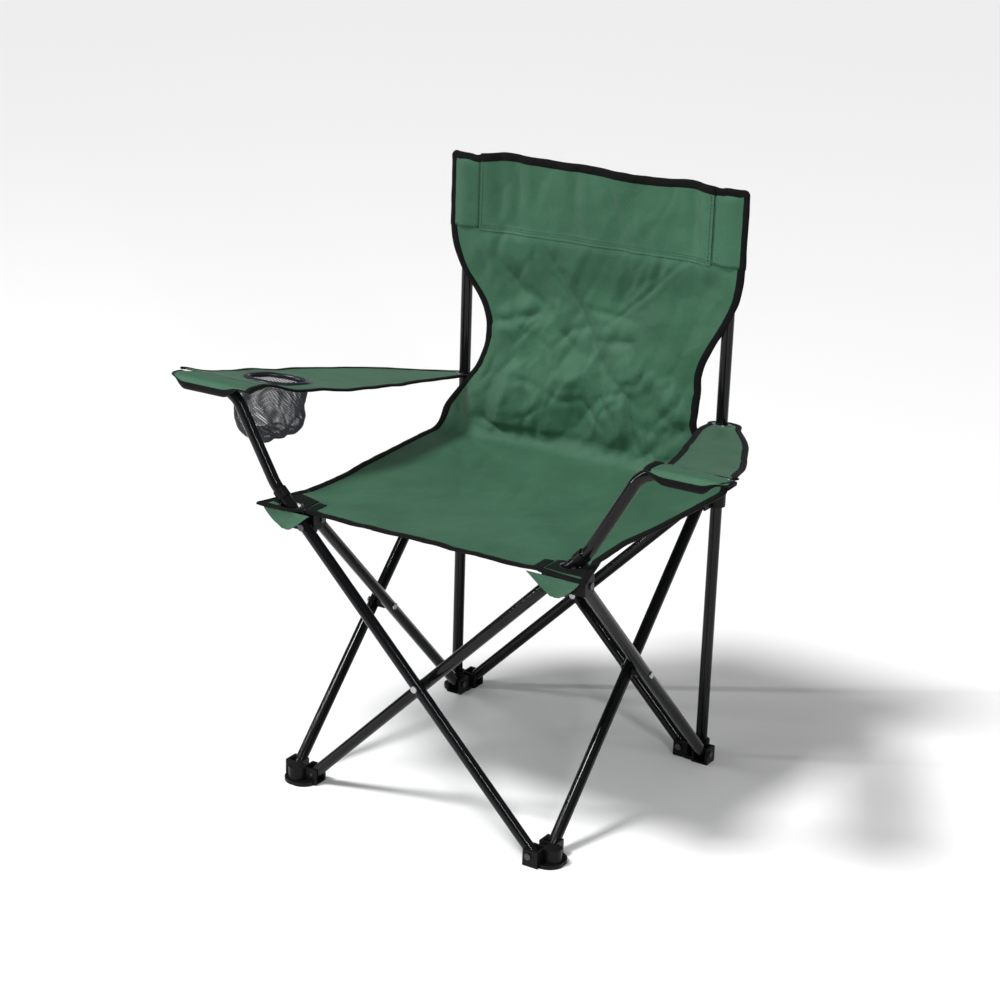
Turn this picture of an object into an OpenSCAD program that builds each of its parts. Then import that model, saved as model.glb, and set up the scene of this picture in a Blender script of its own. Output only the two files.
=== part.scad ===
// Quad-folding camp chair in its open position. Millimetres, +Z up, the sitter faces -Y.
// Four scissor pairs of steel tube join four feet to four hubs. The two rear hubs slide
// on the back posts, and the two front tubes run on through the seat corners and
// bend outwards to carry the arm rests.

/* [Frame] */
// Half the distance between neighbouring feet
corner_half = 203; // [180:1:230]
// Overall height of the chair to the top of the back
total_height = 806; // [760:1:850]
// Height of the hub pivots above the ground
hub_z = 382; // [350:1:410]
// Height of the foot pivots above the ground
foot_z = 14; // [12:0.5:18]
// Tube diameter
tube_d = 16; // [14:0.5:19]
// Tube wall thickness
tube_wall = 1.2; // [0.8:0.1:2]
// Sideways offset of a tube from the line through the corner centres
tube_offset = 13; // [12.5:0.1:16]
// Distance of a tube pivot from its corner centre
pivot_inset = 22; // [20:0.5:28]
// Length of tube beyond its end pivot
tube_tail = 7; // [5:0.5:8]
// Top of the back posts
post_top_z = 798; // [750:1:840]

/* [Arm tubes] */
// Distance along the tube from the hub pivot to the first bend
first_bend_at = 69; // [62:1:90]
// Lean of the arm upright above the first bend, in degrees
arm_lean = 60; // [50:1:75]
// Height of the arm tube where it runs sideways
arm_tube_z = 547; // [520:1:580]
// Reach of the arm tube from the middle of the chair
arm_tube_x = 374; // [340:1:410]
// Bend radius at the first bend
first_bend_r = 60; // [40:1:90]
// Bend radius at the top of the upright
top_bend_r = 38; // [26:1:50]

/* [Fabric] */
// Thickness that stands for each fabric layer
cloth = 2; // [1:0.1:3]
// Height of the underside of the seat
seat_z = 404; // [395:1:420]
// Height of the arm rest at the back posts
arm_rear_z = 485; // [460:1:510]
// Lower edge of the sleeves over the back posts
header_z = 703; // [660:1:740]
// Height at which the back is narrowest
waist_z = 550; // [520:1:590]
// Cup ring outside diameter
cup_ring_d = 94; // [76:1:100]
// Depth of the mesh cup pocket
cup_depth = 68; // [60:1:100]

/* [Hidden] */

eps = 0.05;
far = 80;
facets = 28;
fine = 48;
tube_r = tube_d / 2;
inner_r = tube_r - tube_wall;
// pivots
pivot_half = corner_half - pivot_inset;
rise = hub_z - foot_z;
span = 2 * pivot_half;
tube_len = sqrt(span * span + rise * rise);
theta = atan2(rise, span);
inner_plane = corner_half - tube_offset;
outer_plane = corner_half + tube_offset;
mid_z = foot_z + rise / 2;
// rivets
rivet_r = 2.4;
rivet_gap = 0.1;
rivet_tail = 2.6;
rivet_hole_back = 3;
rivet_head_r = 4.6;
rivet_head_h = 1.7;
head_gap = 0.1;
spacer_r = 7;
spacer_gap = 0.3;
// slots, ears and walls of the plastic corners
slot_half = tube_r + 0.6;
slot_in = tube_offset - slot_half;
slot_out = tube_offset + slot_half;
ear = 3.9;
lug_back = 8;
slot_start = 10.8;
lug_front = 30;
sleeve_r = 12;
post_bore_r = tube_r + 0.6;
socket_bore_r = tube_r + 0.1;
foot_h = 22.6;
foot_floor = 2.2;
post_foot_z = 3.2;
pad_r = 21;
pad_h = 5;
pad_shift = 6;
hub_low = 11;
hub_high = 13.5;
hub_cap = 2.2;
wall_in = 4.2;
// seat
seat_mid_y = -19;
seat_front_y = -222;
seat_bend_y = 165;
bend_r = 28.6;
back_y = seat_bend_y + bend_r;
seam_gap = 0.4;
// eyelets
eye_wall = 4;
eye_h = 3;
tube_eye_r = 12.8;
post_eye_r = 9.5;
eye_x = pivot_half + (seat_z + cloth / 2 - hub_z) / tan(theta);
// collars
collar_at = 47;
collar_len = 13;
collar_r = 9.6;
collar_bore_r = tube_r + 0.15;
// arm rests
sleeve_wall = 2;
arm_sleeve_bore = tube_r + 0.4;
arm_sleeve_out = arm_sleeve_bore + sleeve_wall;
arm_sleeve_root = arm_sleeve_bore + 1.5;
arm_front_x = 304;
arm_sleeve_x = 320;
arm_tip_x = 410;
arm_joint = 25;
arm_drop = atan2(arm_tube_z - arm_rear_z, inner_plane + corner_half);
// flaps under the front corners
flap_y = -230;
patch_front = 238;
// moves the middle of the outline onto the origin
y_shift = (patch_front - (corner_half + slot_out + ear + head_gap + rivet_head_h)) / 2;

// ---------- helpers ----------

// a tube in a vertical plane: local X runs along the chair side, local Y is up
module side(turn, plane) rotate([0, 0, turn]) translate([0, plane, 0]) rotate([90, 0, 0]) children();

module rod(at, angle, length, r) translate([at[0], at[1], 0]) rotate([0, 0, angle]) rotate([0, 90, 0])
  cylinder(h = length, r = r, $fn = facets);

function ahead(at, angle, d) = [at[0] + d * cos(angle), at[1] + d * sin(angle)];

module hole(at, r, width) translate([at[0], at[1], -width / 2]) cylinder(h = width, r = r, $fn = facets);

foot_pivot = [-pivot_half, foot_z];
cross_pivot = [0, mid_z];
hub_pivot = [pivot_half, hub_z];

module pivot_holes() {
  hole(foot_pivot, rivet_r + rivet_gap, 3 * tube_r);
  hole(cross_pivot, rivet_r + rivet_gap, 3 * tube_r);
  hole(hub_pivot, rivet_r + rivet_gap, 3 * tube_r);
}

module straight_tube() {
  start = ahead(foot_pivot, theta, -tube_tail);
  difference() {
    rod(start, theta, tube_len + 2 * tube_tail, tube_r);
    rod(ahead(start, theta, -1), theta, tube_len + 2 * tube_tail + 2, inner_r);
    pivot_holes();
  }
}

// the tube that goes on above its hub: two bends, then sideways inside the arm rest
bend_one = arm_lean - theta;
bend_one_t = first_bend_r * tan(bend_one / 2);
bend_two_t = top_bend_r * tan(arm_lean / 2);
// the elbows' walls are this much thinner on each face, and the straight lengths reach this far over them
elbow_step = 0.06;
elbow_lap = 0.5;
corner_one = ahead(hub_pivot, theta, first_bend_at);
upright_len = (arm_tube_z - corner_one[1]) / sin(arm_lean);
corner_two = ahead(corner_one, arm_lean, upright_len);

module tube_section(thinner) difference() {
  circle(r = tube_r - thinner, $fn = facets);
  circle(r = inner_r + thinner, $fn = facets);
}

// a straight length that starts at the origin heading along +X
module straight(length) rotate([0, 90, 0]) linear_extrude(length) tube_section(0);

// an elbow that starts at the origin heading along +X and turns left
module elbow(radius, angle) translate([0, radius, 0]) rotate([0, 0, -90])
  rotate_extrude(angle = angle, $fn = 4 * fine) translate([radius, 0]) tube_section(elbow_step);

module from_point(p, angle) translate([p[0], p[1], 0]) rotate([0, 0, angle]) children();

module arm_tube() {
  difference() {
    from_point(ahead(foot_pivot, theta, -tube_tail), theta)
      straight(tube_len + first_bend_at + tube_tail - bend_one_t + elbow_lap);
    pivot_holes();
  }
  from_point(ahead(corner_one, theta, -bend_one_t), theta) elbow(first_bend_r, bend_one);
  from_point(ahead(corner_one, arm_lean, bend_one_t - elbow_lap), arm_lean)
    straight(upright_len - bend_one_t - bend_two_t + 2 * elbow_lap);
  from_point(ahead(corner_two, 0, bend_two_t), 180) elbow(top_bend_r, arm_lean);
  from_point(ahead(corner_two, 0, bend_two_t - elbow_lap), 0)
    straight(arm_tube_x - corner_two[0] - bend_two_t + elbow_lap);
}

// ---------- plastic corners, drawn for the front left corner and turned for the others ----------

module at_corner(turn) rotate([0, 0, turn]) translate([-corner_half, -corner_half, 0]) children();

module box(lo, hi) translate(lo) cube(hi - lo);

module foot_body(post) {
  top = foot_h;
  difference() {
    union() {
      box([lug_back, slot_in - ear + 1, 0], [lug_front, slot_out + ear, top]);
      box([-slot_out - ear, lug_back, 0], [-slot_in + ear - 1, lug_front, top]);
      cylinder(h = top, r = sleeve_r, $fn = fine);
      box([-wall_in, -wall_in, 0], [slot_start, slot_start, top]);
      translate([0, pad_shift, 0]) cylinder(h = pad_h, r = pad_r, $fn = fine);
      translate([pad_shift, pad_shift, 0]) cylinder(h = pad_h, r = pad_r, $fn = fine);
    }
    box([slot_start, slot_in, foot_floor], [far, slot_out, far]);
    box([-slot_out, slot_start, foot_floor], [-slot_in, far, far]);
    if (post) translate([0, 0, post_foot_z - 0.2]) cylinder(h = far, r = socket_bore_r, $fn = fine);
    translate([pivot_inset, slot_in - rivet_hole_back, foot_z]) rotate([-90, 0, 0]) rivet_hole();
    translate([rivet_hole_back - slot_in, pivot_inset, foot_z]) rotate([0, -90, 0]) rivet_hole();
  }
}

module rivet_hole() cylinder(h = far, r = rivet_r + rivet_gap, $fn = facets);

module rivet(length) {
  cylinder(h = length + head_gap + eps, r = rivet_r, $fn = facets);
  translate([0, 0, length + head_gap]) cylinder(h = rivet_head_h, r = rivet_head_r, $fn = facets);
}

module foot_rivets() {
  grip = slot_out + ear - slot_in + rivet_tail;
  translate([pivot_inset, slot_in - rivet_tail, foot_z]) rotate([-90, 0, 0]) rivet(grip);
  translate([rivet_tail - slot_in, pivot_inset, foot_z]) rotate([0, -90, 0]) rivet(grip);
}

// a closed lug holds a tube end in a slot, an open wall lets the tube run past
module lug_u(closed) difference() {
  if (closed) box([lug_back, -slot_out - ear, -hub_low], [lug_front, -slot_in + ear - 1, hub_high]);
  else box([-6, -wall_in, -hub_low], [lug_front, wall_in, hub_high]);
  if (closed) box([slot_start, -slot_out, -far], [far, -slot_in, hub_high - hub_cap]);
}

module lug_v(closed) difference() {
  if (closed) box([slot_in - ear + 1, lug_back, -hub_low], [slot_out + ear, lug_front, hub_high]);
  else box([-wall_in, -6, -hub_low], [wall_in, lug_front, hub_high]);
  if (closed) box([slot_in, slot_start, -far], [slot_out, far, hub_high - hub_cap]);
}

module hub_body(closed_u, closed_v, post) translate([0, 0, hub_z]) difference() {
  union() {
    lug_u(closed_u);
    lug_v(closed_v);
    if (post) translate([0, 0, -hub_low]) cylinder(h = hub_low + hub_high, r = sleeve_r, $fn = fine);
    else box([-wall_in, -wall_in, -hub_low], [slot_start, slot_start, hub_high]);
  }
  if (post) translate([0, 0, -far]) cylinder(h = 2 * far, r = post_bore_r, $fn = fine);
  if (!closed_u) box([-far, -slot_out, -far], [far, -slot_in, far]);
  if (!closed_v) translate([tube_offset, pivot_inset, 0]) rotate([90 - theta, 0, 0])
    cylinder(h = far, r = slot_half, $fn = fine);
  if (!closed_v) box([slot_in, wall_in, -far], [slot_out, far, far]);
  translate([pivot_inset, rivet_hole_back, 0]) rotate([90, 0, 0]) rivet_hole();
  translate([1, pivot_inset, 0]) rotate([0, 90, 0]) rivet_hole();
}

function hub_grip(closed) = (closed ? slot_out + ear : tube_offset + tube_r) - slot_in + rivet_tail;

module hub_rivets(closed_u, closed_v) translate([0, 0, hub_z]) {
  translate([pivot_inset, rivet_tail - slot_in, 0]) rotate([90, 0, 0]) rivet(hub_grip(closed_u));
  translate([slot_in - rivet_tail, pivot_inset, 0]) rotate([0, 90, 0]) rivet(hub_grip(closed_v));
}

// crossing of a scissor pair: the rivet runs through both tubes, a washer keeps them apart
module crossing_rivet() translate([0, -outer_plane - tube_r, mid_z]) rotate([-90, 0, 0]) {
  translate([0, 0, -head_gap - rivet_head_h]) cylinder(h = rivet_head_h, r = rivet_head_r, $fn = facets);
  translate([0, 0, -head_gap - eps]) rivet(2 * tube_offset + tube_d + head_gap + eps);
}

module crossing_spacer() translate([0, spacer_gap + tube_r - outer_plane, mid_z]) rotate([-90, 0, 0])
difference() {
  cylinder(h = 2 * tube_offset - tube_d - 2 * spacer_gap, r = spacer_r, $fn = facets);
  translate([0, 0, -1]) cylinder(h = 2 * tube_offset, r = rivet_r + rivet_gap, $fn = facets);
}

// ---------- fabric ----------

// half outline of seat and back: [half width, distance along the seat or height]
seat_edge = [[178, seat_front_y], [178, -178], [225, -160], [221, -76], [228, -11], [231, 62],
  [233, 130], [233, seat_bend_y]];
back_left_edge = [[233, seat_z], [232, 425], [226, 440], [206, 467], [176, 505], [163, 535], [160, waist_z]];
back_right_edge = [[233, seat_z], [226, 425], [204, 440], [181, 456], [171, 478], [172, 505], [174, 530],
  [172, waist_z]];
upper_left_edge = [[160, waist_z], [161, 577], [168, 598], [178, 613], [203, 640], [213, 663], [219, 680],
  [223, header_z]];
upper_right_edge = [[172, waist_z], [178, 572], [190, 597], [198, 611], [212, 638], [220, 656], [224, 680],
  [225, header_z]];

function flip(points) = [for (i = [len(points) - 1 : -1 : 0]) [-points[i][0], points[i][1]]];
function outline(right, left) = concat(right, flip(left));

module seat_plate() translate([0, 0, seat_z]) linear_extrude(height = cloth) polygon(outline(seat_edge, seat_edge));

module seat_front() color("#3f6d52") difference() {
  seat_plate();
  box([-far * 4, seat_mid_y, seat_z - 1], [far * 4, far * 4, seat_z + cloth + 1]);
}

module seat_rear() color("#3f6d52") difference() {
  seat_plate();
  box([-far * 4, -far * 4, seat_z - 1], [far * 4, seat_mid_y + seam_gap, seat_z + cloth + 1]);
}

// side view of the curve from the seat up into the back
module back_profile() {
  difference() {
    translate([seat_bend_y + seam_gap, seat_z + bend_r]) circle(r = bend_r, $fn = 2 * fine);
    translate([seat_bend_y + seam_gap, seat_z + bend_r]) circle(r = bend_r - cloth, $fn = 2 * fine);
    translate([seat_bend_y - 100 + seam_gap, seat_z - 1]) square([100, 100]);
    translate([seat_bend_y - 1, seat_z + bend_r]) square([100, 100]);
  }
  translate([back_y + seam_gap - cloth, seat_z + bend_r - eps])
    square([cloth, waist_z - seat_z - bend_r + eps]);
}

module back_lower() color("#3f6d52") intersection() {
  translate([-far * 4, 0, 0]) rotate([90, 0, 90]) linear_extrude(height = far * 8) back_profile();
  translate([0, far * 4, 0]) rotate([90, 0, 0]) linear_extrude(height = far * 4) 
    polygon(outline(back_right_edge, back_left_edge));
}

stitch_x = 178;
sleeve_edge_x = 225;

module back_upper() color("#3f6d52") translate([0, back_y + seam_gap, 0]) rotate([90, 0, 0])
linear_extrude(height = cloth) {
  translate([0, seam_gap]) polygon(outline(upper_right_edge, upper_left_edge));
  translate([-stitch_x, header_z]) square([2 * stitch_x, total_height - header_z]);
}

post_sleeve_edge = [[stitch_x + seam_gap, -10.4], [sleeve_edge_x, -10.4], [sleeve_edge_x, -7],
  [216, 10.4], [190, 10.4], [stitch_x + seam_gap, -8.4]];

module post_sleeve(s) color("#3f6d52") difference() {
  translate([0, corner_half, header_z + 2 * seam_gap])
    linear_extrude(height = total_height - header_z - 2 * seam_gap)
    polygon([for (p = post_sleeve_edge) [s * p[0], p[1]]]);
  translate([s * corner_half, corner_half, 0]) cylinder(h = post_top_z + 1, r = tube_r + 0.4, $fn = fine);
}

patch_edge = [[170, -patch_front], [246, -patch_front], [250, -230], [229, -161.5], [224.8, -161.2],
  [178.9, -178.8], [178.9, seat_front_y - 1], [170, seat_front_y - 1]];

module patch(s, plane) color("#1c2321") difference() {
  translate([0, 0, seat_z]) linear_extrude(height = cloth) polygon([for (p = patch_edge) [s * p[0], p[1]]]);
  translate([s * eye_x, -plane, seat_z - 1])
    cylinder(h = cloth + 2, r = tube_eye_r + eye_wall + eps, $fn = fine);
}

flap_edge = [[172, seat_z - 0.8], [240, seat_z - 0.8], [234, 391], [216, 378], [202, 376], [190, 381]];

module flap(s) color("#3f6d52") translate([0, flap_y + cloth, 0]) rotate([90, 0, 0])
  linear_extrude(height = cloth) polygon([for (p = flap_edge) [s * p[0], p[1]]]);

module ring(r, wall, h) difference() {
  cylinder(h = h, r = r + wall, $fn = fine);
  translate([0, 0, -1]) cylinder(h = h + 2, r = r, $fn = fine);
}

module front_eyelet(s, plane) color("#b9bcbe") translate([s * eye_x, -plane, seat_z - (eye_h - cloth) / 2])
  ring(tube_eye_r, eye_wall, eye_h);

tab_top = seat_z - 0.8;
tab_edge = [[186, 168], [226, 168], [226, 214], [219, 221], [190, 221], [186, 216]];

module rear_tab(s) color("#1c2321") difference() {
  translate([0, 0, tab_top - cloth]) linear_extrude(height = cloth)
    polygon([for (p = tab_edge) [s * p[0], p[1]]]);
  translate([s * corner_half, corner_half, 0])
    cylinder(h = far * 6, r = post_eye_r + eye_wall + eps, $fn = fine);
}

module rear_eyelet(s) color("#b9bcbe")
  translate([s * corner_half, corner_half, tab_top - cloth - (eye_h - cloth) / 2])
  ring(post_eye_r, eye_wall, eye_h);

// the arm rests lie in a plane that falls towards the back posts
module on_arm() translate([0, corner_half, arm_rear_z]) rotate([-arm_drop, 0, 0]) children();
function arm_s(y) = (y - corner_half) / cos(arm_drop);
arm_right_edge = [[arm_front_x, -162], [300, -135], [258, -10], [217, 106], [198, 150], [195, 186],
  [197, 192], [197, 214], [193, 219], [196, 221], [216, 221], [222, 214], [232, 190], [283, 108],
  [340, -18], [374, -118], [398, -162]];
arm_left_edge = [[262, -188], [246, -130], [222, -50], [214, 30], [208, 106], [198, 150], [195, 186],
  [197, 192], [197, 214], [193, 219], [196, 221], [216, 221], [222, 214], [236, 190], [300, 137],
  [356, 40], [382, -40], [402, -110], [404, -188]];
cup_x = 318;
cup_y = -92;
cup_r = cup_ring_d / 2;
cup_wall = 8;
cup_ring_h = 5;
cup_inner_r = cup_r - cup_wall;

module arm_panel(s, edge) color("#3f6d52") on_arm() difference() {
  translate([0, 0, -cloth / 2]) linear_extrude(height = cloth)
    polygon([for (p = edge) [s * p[0], arm_s(p[1])]]);
  translate([s * corner_half, 0, -5]) cylinder(h = 10, r = post_eye_r + eye_wall + 0.3, $fn = fine);
  if (s < 0) translate([s * cup_x, arm_s(cup_y), -5]) cylinder(h = 10, r = cup_r + 0.2, $fn = fine);
}

module arm_eyelet(s) color("#b9bcbe") on_arm() translate([s * corner_half, 0, -eye_h / 2])
  ring(post_eye_r, eye_wall, eye_h);

// fabric pocket round the sideways end of the arm tube
module arm_sleeve(s, plane) color("#3f6d52")
  translate([s * arm_sleeve_x, -plane, arm_tube_z]) rotate([90, 0, s * 90])
  linear_extrude(height = arm_tip_x - arm_sleeve_x) mirror([max(s, 0), 0]) difference() {
    union() {
      circle(r = arm_sleeve_out, $fn = fine);
      polygon([[22, -1], [22, 1], [0, arm_sleeve_root], [-arm_joint, 1 - arm_joint * tan(arm_drop)],
        [-arm_joint, -1 - arm_joint * tan(arm_drop)], [0, -arm_sleeve_root]]);
    }
    circle(r = arm_sleeve_bore, $fn = fine);
  }

module collar(turn, plane) color("#141516") side(turn, plane) difference() {
  rod(ahead(hub_pivot, theta, collar_at), theta, collar_len, collar_r);
  rod(ahead(hub_pivot, theta, collar_at - 1), theta, collar_len + 2, collar_bore_r);
}

module cup_ring() color("#141516") on_arm() translate([-cup_x, arm_s(cup_y), -cup_ring_h / 2])
  ring(cup_inner_r, cup_wall, cup_ring_h);

cup_top_z = arm_rear_z + (corner_half - cup_y) * tan(arm_drop) - 10;
// the net is fuller than the ring and hangs a little outwards and forwards
mesh_top_r = 46;
mesh_r = 48.5;
mesh_low_r = 36;
mesh_t = 1.5;
mesh_shift = [-6, -7, 0];
cup_low_z = cup_top_z - cup_depth;
taper_h = 26;

module cup_mesh_pocket() color("#8f9496") translate([-cup_x, cup_y, 0] + mesh_shift) rotate_extrude($fn = fine)
  polygon([[0, cup_low_z], [mesh_low_r, cup_low_z], [mesh_r, cup_low_z + taper_h], [mesh_top_r, cup_top_z],
    [mesh_top_r - mesh_t, cup_top_z], [mesh_r - mesh_t, cup_low_z + taper_h + 0.4],
    [mesh_low_r - 1, cup_low_z + mesh_t], [0, cup_low_z + mesh_t]]);

module back_post(s) color("#17181a") translate([s * corner_half, corner_half, 0]) difference() {
  translate([0, 0, post_foot_z]) cylinder(h = post_top_z - post_foot_z, r = tube_r, $fn = fine);
  translate([0, 0, -1]) cylinder(h = total_height + 2, r = inner_r, $fn = fine);
}

module foot(turn, post) color("#141516") at_corner(turn) foot_body(post);
module hub(turn, u, v, post) color("#141516") at_corner(turn) hub_body(u, v, post);
module tube(turn, plane) color("#17181a") side(turn, plane) straight_tube();
module feet_rivets(turn) color("#c9ccce") at_corner(turn) foot_rivets();
module hubs_rivets(turn, u, v) color("#c9ccce") at_corner(turn) hub_rivets(u, v);
module cross_rivet(turn) color("#c9ccce") rotate([0, 0, turn]) crossing_rivet();
module cross_spacer(turn) color("#141516") rotate([0, 0, turn]) crossing_spacer();

translate([0, y_shift, 0]) {
  foot(0, false);  // foot_front_left
  foot(90, false);  // foot_front_right
  foot(180, true);  // foot_rear_right
  foot(-90, true);  // foot_rear_left
  color("#17181a") side(0, -inner_plane) arm_tube();  // front_tube_right_arm
  color("#17181a") side(180, outer_plane) arm_tube();  // front_tube_left_arm
  tube(90, outer_plane);  // left_tube_rising_back
  tube(-90, -inner_plane);  // left_tube_rising_front
  tube(90, -inner_plane);  // right_tube_rising_back
  tube(-90, outer_plane);  // right_tube_rising_front
  tube(180, -inner_plane);  // rear_tube_rising_left
  tube(0, outer_plane);  // rear_tube_rising_right
  back_post(-1);  // back_post_left
  back_post(1);  // back_post_right
  hub(0, false, true, false);  // hub_front_left
  hub(90, true, false, false);  // hub_front_right
  hub(180, true, true, true);  // hub_rear_right
  hub(-90, true, true, true);  // hub_rear_left
  cross_rivet(0);  // crossing_rivet_front
  cross_rivet(90);  // crossing_rivet_right
  cross_rivet(180);  // crossing_rivet_rear
  cross_rivet(-90);  // crossing_rivet_left
  cross_spacer(0);  // crossing_spacer_front
  cross_spacer(90);  // crossing_spacer_right
  cross_spacer(180);  // crossing_spacer_rear
  cross_spacer(-90);  // crossing_spacer_left
  feet_rivets(0);  // foot_rivets_front_left
  feet_rivets(90);  // foot_rivets_front_right
  feet_rivets(180);  // foot_rivets_rear_right
  feet_rivets(-90);  // foot_rivets_rear_left
  hubs_rivets(0, false, true);  // hub_rivets_front_left
  hubs_rivets(90, true, false);  // hub_rivets_front_right
  hubs_rivets(180, true, true);  // hub_rivets_rear_right
  hubs_rivets(-90, true, true);  // hub_rivets_rear_left
  collar(180, outer_plane);  // arm_collar_left
  collar(0, -inner_plane);  // arm_collar_right
  seat_front();
  seat_rear();
  back_lower();
  back_upper();
  post_sleeve(-1);  // back_sleeve_left
  post_sleeve(1);  // back_sleeve_right
  patch(-1, outer_plane);  // corner_patch_front_left
  patch(1, inner_plane);  // corner_patch_front_right
  rear_tab(-1);  // corner_tab_rear_left
  rear_tab(1);  // corner_tab_rear_right
  flap(-1);  // corner_flap_left
  flap(1);  // corner_flap_right
  front_eyelet(-1, outer_plane);  // corner_eyelet_front_left
  front_eyelet(1, inner_plane);  // corner_eyelet_front_right
  rear_eyelet(-1);  // corner_eyelet_rear_left
  rear_eyelet(1);  // corner_eyelet_rear_right
  arm_sleeve(-1, outer_plane);  // arm_sleeve_left
  arm_sleeve(1, inner_plane);  // arm_sleeve_right
  arm_panel(-1, arm_left_edge);  // arm_panel_left
  arm_panel(1, arm_right_edge);  // arm_panel_right
  arm_eyelet(-1);  // arm_eyelet_left
  arm_eyelet(1);  // arm_eyelet_right
  cup_ring();
  cup_mesh_pocket();
}
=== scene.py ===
"""Quad-folding camp chair: fabric, net, finishes, floor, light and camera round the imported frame."""
import math

import bpy
import numpy as np
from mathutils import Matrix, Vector, noise


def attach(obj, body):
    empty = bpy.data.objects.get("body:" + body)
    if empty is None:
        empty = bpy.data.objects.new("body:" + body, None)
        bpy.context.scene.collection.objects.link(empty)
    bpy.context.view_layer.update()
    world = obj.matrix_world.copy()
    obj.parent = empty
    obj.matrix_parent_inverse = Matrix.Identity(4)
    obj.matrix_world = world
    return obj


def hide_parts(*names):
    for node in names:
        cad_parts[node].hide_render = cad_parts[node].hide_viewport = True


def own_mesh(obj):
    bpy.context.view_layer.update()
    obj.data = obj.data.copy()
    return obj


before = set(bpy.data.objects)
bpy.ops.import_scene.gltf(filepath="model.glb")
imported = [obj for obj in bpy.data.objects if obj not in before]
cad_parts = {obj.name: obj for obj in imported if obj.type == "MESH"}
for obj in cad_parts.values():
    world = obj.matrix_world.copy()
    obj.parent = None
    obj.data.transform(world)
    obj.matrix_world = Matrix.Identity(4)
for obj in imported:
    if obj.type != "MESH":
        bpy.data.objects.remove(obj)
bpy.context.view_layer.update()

# ---------------------------------------------------------------- measures, millimetres
# The chair's own frame has its feet square round the origin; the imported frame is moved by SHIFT_Y.
SHIFT_Y = 3.85
CORNER = 203.0
SEAT_Z = 405.0
SEAT_FRONT_Y = -222.0
BEND_Y = 165.0
BEND_R = 27.6
BACK_Y = BEND_Y + BEND_R + 0.4
SEAT_CUT_Y = -19.0
WAIST_CUT_Z = 550.0
HEADER_Z = 703.0
TOP_Z = 803.5
STITCH_X = 178.0
ARM_REAR_Z = 485.0
ARM_TUBE_Z = 547.0
ARM_TAN = (547.0 - 485.0) / (190.0 + 203.0)
EYELET_X = 203.6
CLOTH = 1.3

BEND_LEN = BEND_R * math.pi / 2
S_BEND = BEND_Y - SEAT_FRONT_Y
S_BACK = S_BEND + BEND_LEN
BACK_Z0 = SEAT_Z + BEND_R


def s_of_z(z):
    """Distance along the seat and back for a height on the back."""
    return S_BACK + z - BACK_Z0


def s_of_y(y):
    return y - SEAT_FRONT_Y


S_TOP = s_of_z(TOP_Z)

# half width of the seat and back against distance along them, the left and the right edge
SEAT_EDGE = [(0, 178), (s_of_y(-178), 178), (s_of_y(-160), 225), (s_of_y(-120), 222), (s_of_y(-76), 221),
             (s_of_y(-11), 228), (s_of_y(62), 231), (s_of_y(130), 234), (s_of_y(165), 235)]
LEFT_EDGE = SEAT_EDGE + [(s_of_z(z), x) for z, x in (
    (433, 231), (440, 228), (467, 206), (505, 176), (535, 163), (555, 160), (577, 161), (598, 169), (613, 179),
    (640, 204), (663, 215), (680, 221), (703, 224.5), (740, 225), (TOP_Z, 225))]
RIGHT_EDGE = SEAT_EDGE + [(s_of_z(z), x) for z, x in (
    (433, 215), (440, 204), (456, 182), (478, 171), (505, 172), (530, 174), (550, 172), (572, 179), (597, 191),
    (611, 199), (638, 213), (656, 221), (680, 225), (703, 226), (740, 225.5), (TOP_Z, 225))]
_fine = np.arange(0, S_TOP + 1, 1.0)
_kernel = np.exp(-0.5 * (np.arange(-24, 25) / 7.0) ** 2)
_kernel /= _kernel.sum()


def _rounded(table):
    raw = np.interp(_fine, [e[0] for e in table], [e[1] for e in table])
    smooth = np.convolve(np.pad(raw, 24, mode="edge"), _kernel, mode="valid")
    front = np.clip((_fine - s_of_y(-150)) / 20.0, 0, 1)
    return raw * (1 - front) + smooth * front


_halves = {-1: _rounded(LEFT_EDGE), 1: _rounded(RIGHT_EDGE)}


def half_width(s, side):
    return np.interp(s, _fine, _halves[side])


def on_path(s):
    """Height, depth and normal of the flat seat and back at distance s."""
    s = np.asarray(s, float)
    a = np.clip((s - S_BEND) / BEND_R, 0, math.pi / 2)
    y = np.where(s < S_BEND, SEAT_FRONT_Y + s, BEND_Y + BEND_R * np.sin(a))
    z = np.where(s < S_BACK, SEAT_Z + BEND_R * (1 - np.cos(a)), BACK_Z0 + s - S_BACK)
    return y, z, -np.sin(a), np.cos(a)


# ---------------------------------------------------------------- wrinkles
rng = np.random.default_rng(20)


def bump(x, centre, width):
    return np.exp(-((x - centre) / width) ** 2)


def crease(x, s, points, depth, width):
    """A pressed fold along a line of points: a sharp trough with soft shoulders, fading at its ends."""
    best = np.full(x.shape, 1e9)
    fade = np.zeros(x.shape)
    count = len(points) - 1
    for i in range(count):
        (x0, s0), (x1, s1) = points[i], points[i + 1]
        dx, ds = x1 - x0, s1 - s0
        length2 = dx * dx + ds * ds
        t_free = ((x - x0) * dx + (s - s0) * ds) / length2
        t = np.clip(t_free, 0, 1)
        d = np.hypot(x - x0 - t * dx, s - s0 - t * ds)
        along = (i + t) / count
        mask = d < best
        best = np.where(mask, d, best)
        fade = np.where(mask, np.sin(np.clip(0.12 + along * 0.8, 0, 1) * math.pi), fade)
    trough = -np.exp(-best / width)
    shoulder = 0.45 * np.exp(-((best - 2.1 * width) / (1.3 * width)) ** 2)
    return depth * fade * (trough + shoulder)


def back_line(*points):
    return [(x, s_of_z(z)) for x, z in points]


def seat_line(*points):
    return [(x, s_of_y(y)) for x, y in points]


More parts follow.
